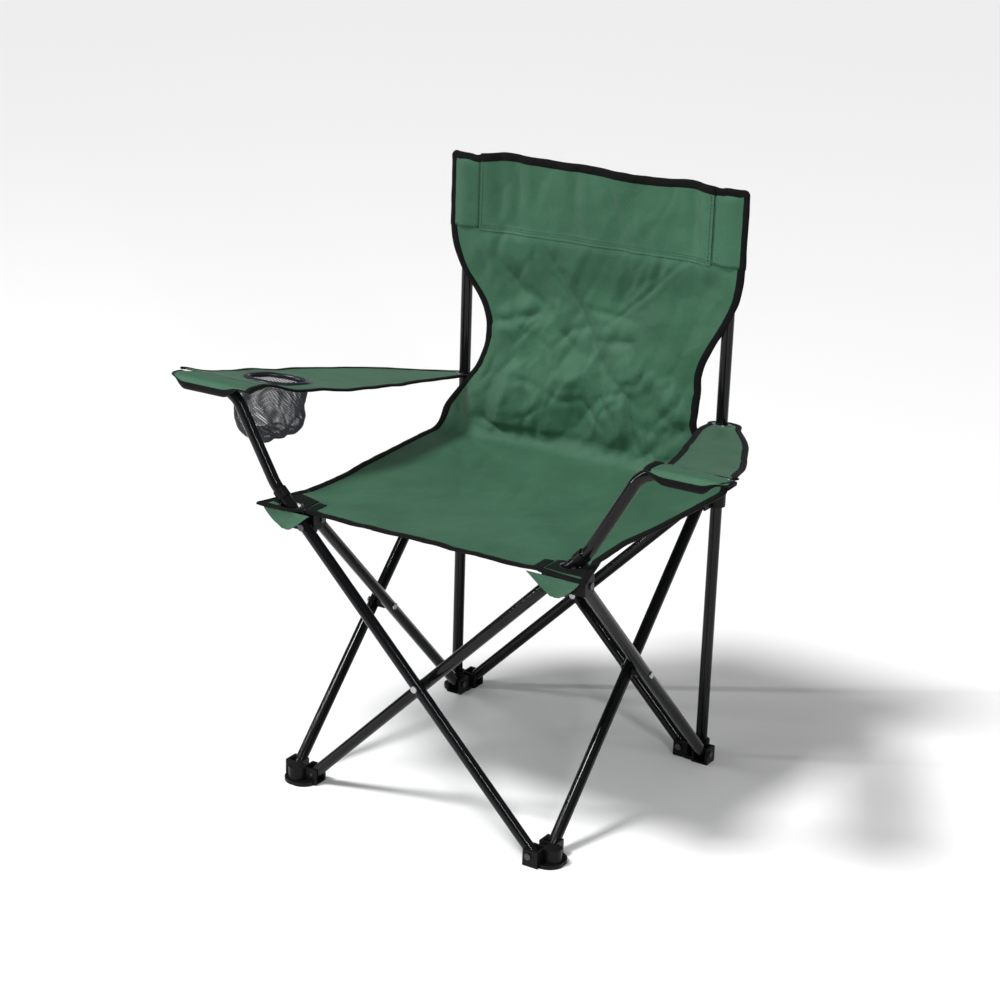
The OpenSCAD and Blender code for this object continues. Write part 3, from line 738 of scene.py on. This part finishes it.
post_sleeve(-1, "back_sleeve_cloth_left", "foot_rear_left", "back_sleeve_left")
post_sleeve(1, "back_sleeve_cloth_right", "foot_rear_right", "back_sleeve_right")


# ---------------------------------------------------------------- arm rests
TUBE_Y = {1: -190.0, -1: -216.0}
JOINT = 25.0
# (y, inner x, outer x) from the front joint to the rear end
ARM_RIGHT = [(-165, 303, 401), (-135, 300, 384), (-118, 295, 374), (-70, 279, 358), (-18, 261, 341), (45, 238, 310),
             (106, 217, 284), (150, 200, 256), (178, 196, 237), (190, 195.5, 230), (198, 192, 227), (205, 188.5, 224.5),
             (212, 188.5, 221), (218, 191, 217), (222, 196, 212)]
ARM_LEFT = [(-191, 262, 406), (-160, 254, 406), (-130, 246, 403), (-92, 234, 397), (-40, 220, 381), (34, 213, 358),
            (80, 211, 336), (122, 205, 309), (150, 199, 278), (178, 196, 246), (190, 195.5, 236), (198, 192, 229),
            (205, 188.5, 225), (212, 188.5, 221), (218, 191, 217), (222, 196, 212)]
CUP_X, CUP_Y, CUP_OUT, CUP_IN = -318.0, -92.0, 47.0, 38.6
ARM_UP = unit(np.array([0.0, ARM_TAN, 1.0]))


def arm_plane(y):
    return ARM_REAR_Z + (CORNER - y) * ARM_TAN


def arm_height(side, x, y):
    """Top of the arm rest: a plane from the post, rising over the tube at the front, with a slight sag."""
    tube_y = TUBE_Y[side]
    rise = np.clip((tube_y + 78 - y) / 74.0, 0, 1)
    rise = rise * rise * (3 - 2 * rise)
    z = arm_plane(y) * (1 - rise) + (ARM_TUBE_Z + 8.6) * rise
    t = np.clip((y - tube_y) / (CORNER - tube_y), 0, 1)
    sag = -5.0 * np.sin(math.pi * t) ** 1.2
    ripple = np.array([noise.noise(Vector((a / 55.0, b / 38.0, 2.0 * side))) for a, b in zip(np.ravel(x), np.ravel(y))])
    small = np.array([noise.noise(Vector((a / 17.0, b / 29.0, 5.0 * side))) for a, b in zip(np.ravel(x), np.ravel(y))])
    fade = np.sin(math.pi * np.clip((y - tube_y - JOINT) / 300.0, 0, 1)) ** 0.5
    return z + sag + (2.2 * ripple + 0.8 * small).reshape(np.shape(x)) * fade


def snapped_hole(p, centre, radius):
    """Pulls grid points inside a hole out to its edge, and returns which cells are open."""
    mid = (p[:-1, :-1] + p[1:, :-1] + p[:-1, 1:] + p[1:, 1:]) / 4
    open_cells = np.hypot(mid[..., 0] - centre[0], mid[..., 1] - centre[1]) < radius
    dx, dy = p[..., 0] - centre[0], p[..., 1] - centre[1]
    r = np.hypot(dx, dy)
    inside = (r < radius) & (r > 0.1)
    scale = np.where(inside, radius / np.maximum(r, 0.1), 1.0)
    p[..., 0], p[..., 1] = centre[0] + dx * scale, centre[1] + dy * scale
    return open_cells


def smooth_line(points, rounds=2):
    points = np.asarray(points, float)
    for _ in range(rounds):
        inner = 0.25 * points[:-2] + 0.5 * points[1:-1] + 0.25 * points[2:]
        points = np.vstack([points[:1], inner, points[-1:]])
    return points


def respaced(points, step):
    points = np.asarray(points, float)
    run = np.concatenate([[0], np.cumsum(np.linalg.norm(np.diff(points, axis=0), axis=1))])
    at = np.linspace(0, run[-1], max(3, int(run[-1] / step)))
    return np.stack([np.interp(at, run, points[:, k]) for k in range(3)], axis=-1)


def arm_rest(side, outline, name, body, node):
    shape = Shape()
    step = 4.2
    ys = np.array([o[0] for o in outline], float)
    fine = np.arange(0, len(ys) - 1 + 1e-6, 0.1)
    table = np.array(outline, float)
    line = np.stack([np.interp(fine, range(len(ys)), table[:, k]) for k in range(3)], axis=-1)
    line = smooth_line(line, 30)
    y_rows = np.array(rows_between(ys[0], 186.0, step) + rows_between(186.0, 222.0, 2.6) + [222.0])
    inner = np.interp(y_rows, line[:, 0], line[:, 1])
    outer = np.interp(y_rows, line[:, 0], line[:, 2])
    cols = 40 if side < 0 else 28
    v = np.linspace(0, 1, cols)
    x = inner[:, None] * (1 - v) + outer[:, None] * v
    y = np.repeat(y_rows[:, None], cols, axis=1)
    p = np.stack([side * x, y, arm_height(side, side * x, y)], axis=-1)
    if side > 0:
        p = p[:, ::1]
    holes = snapped_hole(p, (side * CORNER, CORNER), 11.6)
    if side < 0:
        holes |= snapped_hole(p, (CUP_X, CUP_Y), CUP_OUT - 3.2)
        p = p[:, ::-1]
        holes = holes[:, ::-1]
    n = grid_normals(p)
    n[..., :] = unit(0.4 * n + 0.6 * np.array([0.0, ARM_TAN, 1.0]))
    add_sheet(shape, p, n, thick=1.6, skip=lambda i, j: holes[i, j])
    first, last = (0, -1)
    edge = np.vstack([p[:, first], p[-1, 1:-1], p[::-1, last]])
    edge = respaced(smooth_line(respaced(edge, 4.0), 2), 4.0)
    tangent = unit(np.gradient(edge, axis=0))
    up = np.tile(ARM_UP, (len(edge), 1))
    outward = unit(np.cross(tangent, up))
    centre = np.array([p[..., 0].mean(), 20.0, 500.0])
    if np.dot(outward[3], edge[3] - centre) < 0:
        outward = -outward
    add_tape(shape, edge, up, outward, seed=9.0 + side, profile=tape_profile(8.6, 3.8), inset=2.8)
    obj = shape.make(name, CLOTHS, body, [node])
    return obj, p


# where the front edge starts to turn back, how far it turns back, and where the tube inside ends
ARM_NOSE = {1: (372.0, 15.0), -1: (372.0, 17.0)}
ARM_TUBE_END = 374.0


def arm_front(side, x_in, x_out, name, body, node):
    """The front of the arm rest, folded round the tube: green above, bound in black along its front."""
    shape = Shape()
    tube_y = TUBE_Y[side]
    nose_x, set_back = ARM_NOSE[side]
    xs = np.array(rows_between(x_in, x_out, 4.5) + [x_out])
    joint_y = tube_y + JOINT
    nose = np.radians([78, 62, 46, 31, 17, 0, -18, -36, -54, -72, -88])
    grid, fronts = [], []
    for x in xs:
        full = smoothstep((x - (x_in + 20 if side < 0 else x_in - 4)) / 30.0) * (1 - smoothstep((x - ARM_TUBE_END - 2) / 20.0))
        tip = smoothstep((x - ARM_TUBE_END) / (x_out - ARM_TUBE_END))
        front_y = tube_y - 10.4 + set_back * max(0.0, (x - nose_x) / (x_out - nose_x)) ** 1.8
        r = 9.9 * full + 1.9 * (1 - full)
        ring = []
        for y in np.linspace(joint_y, max(tube_y + 3.0, front_y + r + 1.0) if full > 0.5 else front_y + r + 2.0, 8):
            ring.append((side * x, y, float(arm_height(side, side * x, np.array(y))) - 3.2 * tip))
        centre_z = ring[-1][2] - r
        for a in nose:
            ring.append((side * x, front_y + r - r * math.cos(a), centre_z + r * math.sin(a)))
        fronts.append((side * x, front_y, centre_z))
        low, end_z = ring[-1][2], ring[0][2] - 2.4
        for t in np.linspace(0.12, 1.0, 5):
            ring.append((side * x, ring[-1][1] * (1 - t) + joint_y * t, low * (1 - t) + end_z * t))
        grid.append(ring)
    grid = np.array(grid)
    m = grid.shape[1]
    black_from, black_to = 8 + 4, 8 + len(nose) - 2
    # the binding stands a little proud of the green cloth
    for i in range(len(xs)):
        for k in range(black_from, black_to + 1):
            proud = 0.4 if k in (black_from, black_to) else 1.1
            grid[i, k] += unit(np.array([0.0, fronts[i][1] - grid[i, 8, 1], 0.4 * (grid[i, k, 2] - fronts[i][2])])) * proud
    faces = grid_faces(len(xs), m, wrap=True)
    slots = [1 if black_from <= (i % m) < black_to else 0 for i in range(len(faces))]
    flip = side > 0
    if flip:
        faces = [f[::-1] for f in faces]
    base = len(shape.points)
    shape.add(grid.reshape(-1, 3), [], 0)
    shape.faces.extend([tuple(i + base for i in f) for f in faces])
    shape.slots.extend(slots)
    low_cap, high_cap = tuple(range(m)), tuple(range((len(xs) - 1) * m, len(xs) * m))
    for cap, turn in ((low_cap, flip), (high_cap, not flip)):
        shape.faces.append(tuple(base + i for i in (cap if turn else cap[::-1])))
        shape.slots.append(1)
    # binding over the inner end, and round the tip from the front edge to the outer edge
    inner_end = grid[0, :8 + 5]
    tip_front = [np.array(f) + np.array([0, 1.5, 0]) for f, x in zip(fronts, xs) if x > nose_x + 4]
    tip_side = [grid[-1, k] - np.array([0, 0, 1.6]) for k in range(7, -1, -1)]
    for line, away in ((inner_end, (-side, 0, 0)), (np.array(tip_front + tip_side), None)):
        line = respaced(smooth_line(respaced(line, 3.0), 4), 3.2)
        tangent = unit(np.gradient(line, axis=0))
        if away is None:
            up = np.tile(ARM_UP, (len(line), 1))
            outward = unit(np.cross(tangent, up))
            if outward[0][1] > 0:
                outward = -outward
            up = unit(np.cross(outward, tangent))
        else:
            outward = np.tile([float(a) for a in away], (len(line), 1))
            up = unit(np.cross(tangent, outward))
        up = np.where(up[:, 2:3] < 0, -up, up)
        add_tape(shape, line, up, outward, seed=12.0 + side, profile=tape_profile(9.6, 4.8), inset=3.0)
    return shape.make(name, CLOTHS, body, [node], sharp=55)


def squash_arm(obj):
    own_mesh(obj)


arm_right, _ = arm_rest(1, ARM_RIGHT, "arm_cloth_right", "arm_panel_right", "arm_panel_right")
squash_arm(arm_right)
arm_left, left_grid = arm_rest(-1, ARM_LEFT, "arm_cloth_left", "arm_panel_left", "arm_panel_left")
squash_arm(arm_left)
front_right = arm_front(1, 303.0, 405.0, "arm_front_cloth_right", "tube_right_arm", "arm_sleeve_right")
front_left = arm_front(-1, 262.0, 407.0, "arm_front_cloth_left", "tube_left_arm", "arm_sleeve_left")


# ---------------------------------------------------------------- cup rim and net pocket
def cup_plane_z(x, y):
    return float(arm_height(-1, np.array([x]), np.array([y]))[0])


rim = Shape()
turns = np.linspace(0, 2 * math.pi, 73)[:-1]
rim_points = []
rim_profile = [(CUP_IN, -3.4), (CUP_IN - 0.6, 0.2), (CUP_IN + 0.4, 2.0), (CUP_IN + 2.4, 2.9), (CUP_IN + 4.5, 2.7),
               (CUP_OUT - 0.8, 1.6), (CUP_OUT, 0.3), (CUP_OUT - 0.6, -0.9), (CUP_OUT - 3.5, -1.4), (CUP_IN + 1.6, -3.6)]
for a in turns:
    for r, h in rim_profile:
        wave = 0.35 * noise.noise(Vector((3 * math.cos(a), 3 * math.sin(a), 0.3 * r)))
        x, y = CUP_X + (r + wave) * math.cos(a), CUP_Y + (r + wave) * math.sin(a)
        rim_points.append((x, y, cup_plane_z(CUP_X + 44 * math.cos(a), CUP_Y + 44 * math.sin(a)) + h + wave + 0.9))
rim_faces = []
m = len(rim_profile)
for i in range(len(turns)):
    k = (i + 1) % len(turns)
    for j in range(m):
        l = (j + 1) % m
        rim_faces.append((i * m + j, i * m + l, k * m + l, k * m + j))
rim.add(rim_points, rim_faces, 0)
rim_obj = rim.make("cup_rim", [RIM], "arm_panel_left", ["cup_ring"], sharp=70)
squash_arm(rim_obj)

NET_DEPTH = 73.0
NET_PLEATS = ((0.5, 0.20, 7.0), (1.7, 0.18, 5.0), (2.9, 0.24, 7.0), (4.15, 0.16, 6.0), (4.8, 0.13, 8.0), (5.45, 0.15, 6.0))


def net_point(a, t):
    """The pocket's wall at angle a and depth share t: fuller than its ring, sagging outwards, with loose pleats."""
    if t < 0.6:
        r = 44.5 + 4.0 * math.sin(math.pi / 2 * t / 0.6)
    else:
        r = 48.5 - 13.0 * ((t - 0.6) / 0.4) ** 1.8
    loose = min(t * 2.6, 1.0)
    for centre, width, depth in NET_PLEATS:
        turn = (a - centre - 0.75 * t + math.pi) % (2 * math.pi) - math.pi
        r -= depth * math.exp(-(turn / width) ** 2) * loose
    r += 2.6 * noise.noise(Vector((1.9 * math.cos(a), 1.9 * math.sin(a), 2.8 * t))) * loose
    r += 1.2 * noise.noise(Vector((5.0 * math.cos(a), 5.0 * math.sin(a), 6.0 * t))) * loose
    x, y = CUP_X - 7 * loose + r * math.cos(a), CUP_Y - 8 * loose + r * math.sin(a)
    z_top = cup_plane_z(CUP_X + 44 * math.cos(a), CUP_Y + 44 * math.sin(a)) - 2.2
    z_low = cup_plane_z(CUP_X, CUP_Y) - NET_DEPTH + 5.0 * noise.noise(Vector((math.cos(a) * 1.3, math.sin(a) * 1.3, 9.0)))
    return x, y, z_top * (1 - t) + z_low * t


net = Shape()
around, down = 62, 38
for j in range(down + 1):
    for i in range(around):
        a = 2 * math.pi * (i + 0.5 * (j % 2)) / around
        net.points.append(net_point(a, j / down))
for j in range(down - 1):
    for i in range(around):
        left = i if j % 2 else (i - 1) % around
        right = (i + 1) % around if j % 2 else i
        net.faces.append((j * around + i, (j + 1) * around + left, (j + 2) * around + i, (j + 1) * around + right))
        net.slots.append(0)
# the bottom is gathered to a loose flat disc
rings = 9
base = len(net.points)
low_row = [net.points[down * around + i] for i in range(around)]
low_x, low_y = CUP_X - 7, CUP_Y - 8
for q in range(1, rings):
    share = q / rings
    for i in range(0, around):
        x, y, z = low_row[i]
        drop = 4.0 * math.sin(math.pi * share * 0.5) + 1.5 * noise.noise(Vector((x / 12, y / 12, q / 3.0)))
        net.points.append((x + (low_x - x) * share, y + (low_y - y) * share, z - drop))
previous = [down * around + i for i in range(around)]
for q in range(1, rings):
    current = [base + (q - 1) * around + i for i in range(around)]
    stride = 1 if q < 5 else 2
    for i in range(0, around, stride):
        k = (i + stride) % around
        net.faces.append((previous[i], previous[k], current[k], current[i]))
        net.slots.append(0)
    previous = current
net_obj = net.make("cup_net", [NET], "arm_panel_left", ["cup_mesh_pocket"], sharp=180)
wire = net_obj.modifiers.new("threads", "WIREFRAME")
wire.thickness, wire.use_even_offset, wire.use_replace = 0.0018, False, True


def applied(obj):
    """Replaces a piece's mesh with what its modifiers make of it."""
    bpy.context.view_layer.update()
    made = bpy.data.meshes.new_from_object(obj.evaluated_get(bpy.context.evaluated_depsgraph_get()))
    obj.modifiers.clear()
    obj.data = made


applied(net_obj)
squash_arm(net_obj)


# ---------------------------------------------------------------- seat corners
def ray_to_outline(centre, angle, outline):
    best = None
    d = (math.cos(angle), math.sin(angle))
    for k in range(len(outline)):
        (x0, y0), (x1, y1) = outline[k], outline[(k + 1) % len(outline)]
        ex, ey = x1 - x0, y1 - y0
        det = d[0] * -ey + ex * d[1]
        if abs(det) < 1e-9:
            continue
        t = ((x0 - centre[0]) * -ey + ex * (y0 - centre[1])) / det
        w = (d[0] * (y0 - centre[1]) - d[1] * (x0 - centre[0])) / det
        if t > 0 and -1e-6 <= w <= 1 + 1e-6 and (best is None or t < best):
            best = t
    return best


def plate_with_hole(shape, centre, hole, outline, z_of, thick, slot, count=72, rings=7, bow=0.0):
    """A flat patch with a round hole, drawn as rings from the hole to its outline."""
    angles = np.linspace(0, 2 * math.pi, count + 1)[:-1]
    corners = [math.atan2(q[1] - centre[1], q[0] - centre[0]) % (2 * math.pi) for q in outline]
    for c in corners:
        k = int(np.argmin(np.abs(np.angle(np.exp(1j * (angles - c))))))
        angles[k] = c
    angles = np.sort(angles)
    p = []
    for q in range(rings):
        share = q / (rings - 1)
        ring = []
        for a in angles:
            far_r = ray_to_outline(centre, a, outline)
            r = hole * (1 - share) + far_r * share
            x, y = centre[0] + r * math.cos(a), centre[1] + r * math.sin(a)
            ring.append((x, y, z_of(x, y)))
        ring.append(ring[0])
        p.append(ring)
    p = np.array(p)[:, ::-1]
    n = np.tile([0.0, 0.0, 1.0], p.shape[:2] + (1,))
    add_sheet(shape, p, n, thick=thick, slot=slot)
    return p


def mirrored(points, side):
    points = [(side * x, y) for x, y in points]
    return points if side > 0 else points[::-1]


def corner(side, eye_y, body, names, nodes):
    """Front corner: green cloth and black webbing round the tube's eyelet, bound along front and side."""
    front = [(-224, 178.6), (-228, 205), (-231, 232)] if side > 0 else [(-224, 178.6), (-234, 198), (-234, 232)]
    outline = [(178.6, -224.0), (178.6, -178.6), (225.5, -160.6)]
    outline += [(229.0, -168.0), (240.0, -205.0), (248.0, front[2][0] + 2)]
    outline += [(x, y) for y, x in front[::-1][:2]]
    eye = (side * EYELET_X, eye_y)
    cloth_z = lambda x, y: SEAT_Z - 0.2 + 0.8 * noise.noise(Vector((x / 20, y / 20, 1.0)))
    shape = Shape()
    plate_with_hole(shape, eye, 14.2, mirrored(outline, side), cloth_z, 1.3, 0)
    web = [(181.0, -213.0 if side > 0 else -214.0), (182.0, -182.5), (218.0, -172.0), (229.0, -190.0), (237.0, -214.5)]
    web.append((205.0, -215.5 if side > 0 else -222.0))
    plate_with_hole(shape, eye, 13.6, mirrored(web, side), lambda x, y: cloth_z(x, y) + 1.3, 1.2, 3)
    edge = [(178.6, -224.0)] + [(x, y) for y, x in front[1:]] + [(247.5, front[2][0] + 1.5)]
    edge = np.array([(side * x, y, SEAT_Z) for x, y in edge])
    rear = np.array([(side * x, y, SEAT_Z) for x, y in ((248.0, front[2][0] + 3.0), (240.0, -205.0), (229.5, -168.0), (225.2, -156.0))])
    for line, seed in ((edge, 20.0), (rear, 21.0)):
        line = respaced(smooth_line(respaced(line, 3.0), 4), 3.5)
        tangent = unit(np.gradient(line, axis=0))
        up = np.tile([0.0, 0.0, 1.0], (len(line), 1))
        outward = unit(np.cross(tangent, up))
        if np.dot(outward[1], line[1] - np.array([side * 205.0, -190.0, SEAT_Z])) < 0:
            outward = -outward
        add_tape(shape, line, up, outward, seed=seed + side)
    patch = shape.make(names[0], CLOTHS, body, [nodes[0]])
    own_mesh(patch)
    # the loose green flap below the corner
    hang = Shape()
    wide, tall = 14, 10
    grid = []
    for i in range(tall):
        t = i / (tall - 1)
        row = []
        for j in range(wide):
            v = j / (wide - 1)
            left = 164 + 30 * t ** 0.9 + 4 * t ** 4
            right = 239 - 24 * t ** 1.2 - 5 * t ** 5
            x = left * (1 - v) + right * v
            low = 28.0 * (0.92 + 0.08 * math.sin(math.pi * v))
            curl = 3.6 * math.sin(math.pi * v) * t + 2.0 * t * t
            row.append((side * x, -229.5 + curl * 0.8, SEAT_Z - 2.0 - low * t))
        grid.append(row)
    p = np.array(grid)
    if side < 0:
        p = p[:, ::-1]
    n = grid_normals(p[::-1])[::-1]
    n = np.where(n[..., 1:2] > 0, -n, n)
    add_sheet(hang, p[::-1], n[::-1], thick=1.4)
    flap = hang.make(names[1], CLOTHS, body, [nodes[1]])
    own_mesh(flap)


corner(1, TUBE_Y[1], "tube_right_arm", ("corner_patch_cloth_right", "corner_flap_cloth_right"),
       ("corner_patch_front_right", "corner_flap_right"))
corner(-1, TUBE_Y[-1], "tube_left_arm", ("corner_patch_cloth_left", "corner_flap_cloth_left"),
       ("corner_patch_front_left", "corner_flap_left"))


def rear_tab(side, name, body, node):
    outline = [(186, 168), (226, 168), (227, 190), (226, 214), (219, 221), (203, 222), (190, 221), (186, 214)]
    shape = Shape()
    plate_with_hole(shape, (side * CORNER, CORNER), 11.4, mirrored(outline, side),
                    lambda x, y: 402.2 + 0.3 * noise.noise(Vector((x / 15, y / 15, 3.0))), 1.8, 3)
    obj = shape.make(name, CLOTHS, body, [node])


rear_tab(-1, "corner_tab_cloth_left", "hub_rear_left", "corner_tab_rear_left")
rear_tab(1, "corner_tab_cloth_right", "hub_rear_right", "corner_tab_rear_right")


# ---------------------------------------------------------------- finishes on the CAD parts
def finish_of(name):
    if name.startswith("crossing_rivet") or "eyelet" in name:
        return BRIGHT
    if "rivet" in name:
        return DARK_METAL
    if name.startswith(("foot_", "hub_", "arm_collar", "crossing_spacer")):
        return PLASTIC
    return STEEL


for name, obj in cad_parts.items():
    if obj.hide_render:
        continue
    obj.data.materials.clear()
    obj.data.materials.append(finish_of(name))
    obj.data.shade_smooth()
    obj.data.set_sharp_from_angle(angle=math.radians(32))
    if name.startswith(("foot_", "hub_", "arm_collar")) and "rivet" not in name:
        edge = obj.modifiers.new("soft_edges", "BEVEL")
        edge.width, edge.segments, edge.limit_method, edge.angle_limit = 0.0007, 2, "ANGLE", math.radians(40)
        edge.harden_normals = False


# ---------------------------------------------------------------- floor, light and camera
def floor():
    mesh = bpy.data.meshes.new("floor")
    size = 14.0
    mesh.from_pydata([(-size, -size, -0.0006), (size, -size, -0.0006), (size, size, -0.0006), (-size, size, -0.0006)], [], [(0, 1, 2, 3)])
    obj = bpy.data.objects.new("floor", mesh)
    bpy.context.scene.collection.objects.link(obj)
    m, nodes, links, shader = new_material("studio_floor")
    cloud = add_node(nodes, "ShaderNodeTexNoise", Scale=3.0, Detail=3.0)
    links.new(ramp(nodes, links, cloud.outputs["Fac"], 0.2, 0.8, (0.88, 0.88, 0.88), (0.92, 0.92, 0.92)), shader.inputs["Base Color"])
    shader.inputs["Roughness"].default_value = 0.8
    shader.inputs["Specular IOR Level"].default_value = 0.1
    obj.data.materials.append(m)


floor()


def area_light(name, at, target, size, size_y, power):
    data = bpy.data.lights.new(name, "AREA")
    data.shape, data.size, data.size_y, data.energy = "RECTANGLE", size, size_y, power
    obj = bpy.data.objects.new(name, data)
    bpy.context.scene.collection.objects.link(obj)
    obj.location = at
    obj.rotation_mode = "QUATERNION"
    obj.rotation_quaternion = (Vector(target) - Vector(at)).to_track_quat("-Z", "Y")


area_light("strip_right", (2.6, -2.2, 1.9), (0, 0, 0.35), 0.05, 2.2, 52)
area_light("strip_left", (-2.9, -1.6, 1.6), (0, 0, 0.4), 0.05, 2.2, 42)
area_light("soft_top", (-0.4, -1.4, 3.4), (0, 0, 0.4), 1.6, 1.2, 18)
sun_data = bpy.data.lights.new("sun", "SUN")
sun_data.energy, sun_data.angle = 2.75, math.radians(12)
sun = bpy.data.objects.new("sun", sun_data)
bpy.context.scene.collection.objects.link(sun)
sun.rotation_mode = "QUATERNION"
SUN_AZIMUTH, SUN_ELEVATION = math.radians(-34), math.radians(60)
toward_sun = Vector((math.sin(SUN_AZIMUTH) * math.cos(SUN_ELEVATION), -math.cos(SUN_AZIMUTH) * math.cos(SUN_ELEVATION),
                     math.sin(SUN_ELEVATION)))
sun.rotation_quaternion = (-toward_sun).to_track_quat("-Z", "Y")

# the world is white where it is seen, and gives a dimmer, even fill light
world = bpy.data.worlds.new("studio")
bpy.context.scene.world = world
world.use_nodes = True
world_nodes, world_links = world.node_tree.nodes, world.node_tree.links
path = world_nodes.new("ShaderNodeLightPath")
fill = world_nodes.new("ShaderNodeMapRange")
fill.inputs["To Min"].default_value, fill.inputs["To Max"].default_value = 0.2, 1.0
world_links.new(path.outputs["Is Camera Ray"], fill.inputs["Value"])
world_links.new(fill.outputs[0], world_nodes["Background"].inputs["Strength"])
world_nodes["Background"].inputs["Color"].default_value = (1, 1, 1, 1)
scene = bpy.context.scene
scene.view_settings.view_transform = "Standard"

CAMERA_AZIMUTH, CAMERA_ELEVATION, CAMERA_ROLL = math.radians(37.197), math.radians(20.766), math.radians(-0.35)
CAMERA_AT = Vector((1.5856, -2.6462 + SHIFT_Y * 0.001, 1.4878))
camera_data = bpy.data.cameras.new("camera")
camera = bpy.data.objects.new("camera", camera_data)
scene.collection.objects.link(camera)
camera_data.sensor_width = 36.0
camera_data.lens = 36.0 * 2436.6 / 1000.0
camera_data.shift_x = (500.0 - 257.9) / 1000.0
camera_data.shift_y = (550.1 - 500.0) / 1000.0
backwards = Vector((math.sin(CAMERA_AZIMUTH) * math.cos(CAMERA_ELEVATION), -math.cos(CAMERA_AZIMUTH) * math.cos(CAMERA_ELEVATION),
                    math.sin(CAMERA_ELEVATION)))
camera.rotation_mode = "QUATERNION"
turn = (-backwards).to_track_quat("-Z", "Y")
camera.location = CAMERA_AT
from mathutils import Quaternion
camera.rotation_quaternion = turn @ Quaternion((0, 0, 1), CAMERA_ROLL)
camera_data.clip_start, camera_data.clip_end = 0.1, 60.0
scene.camera = camera
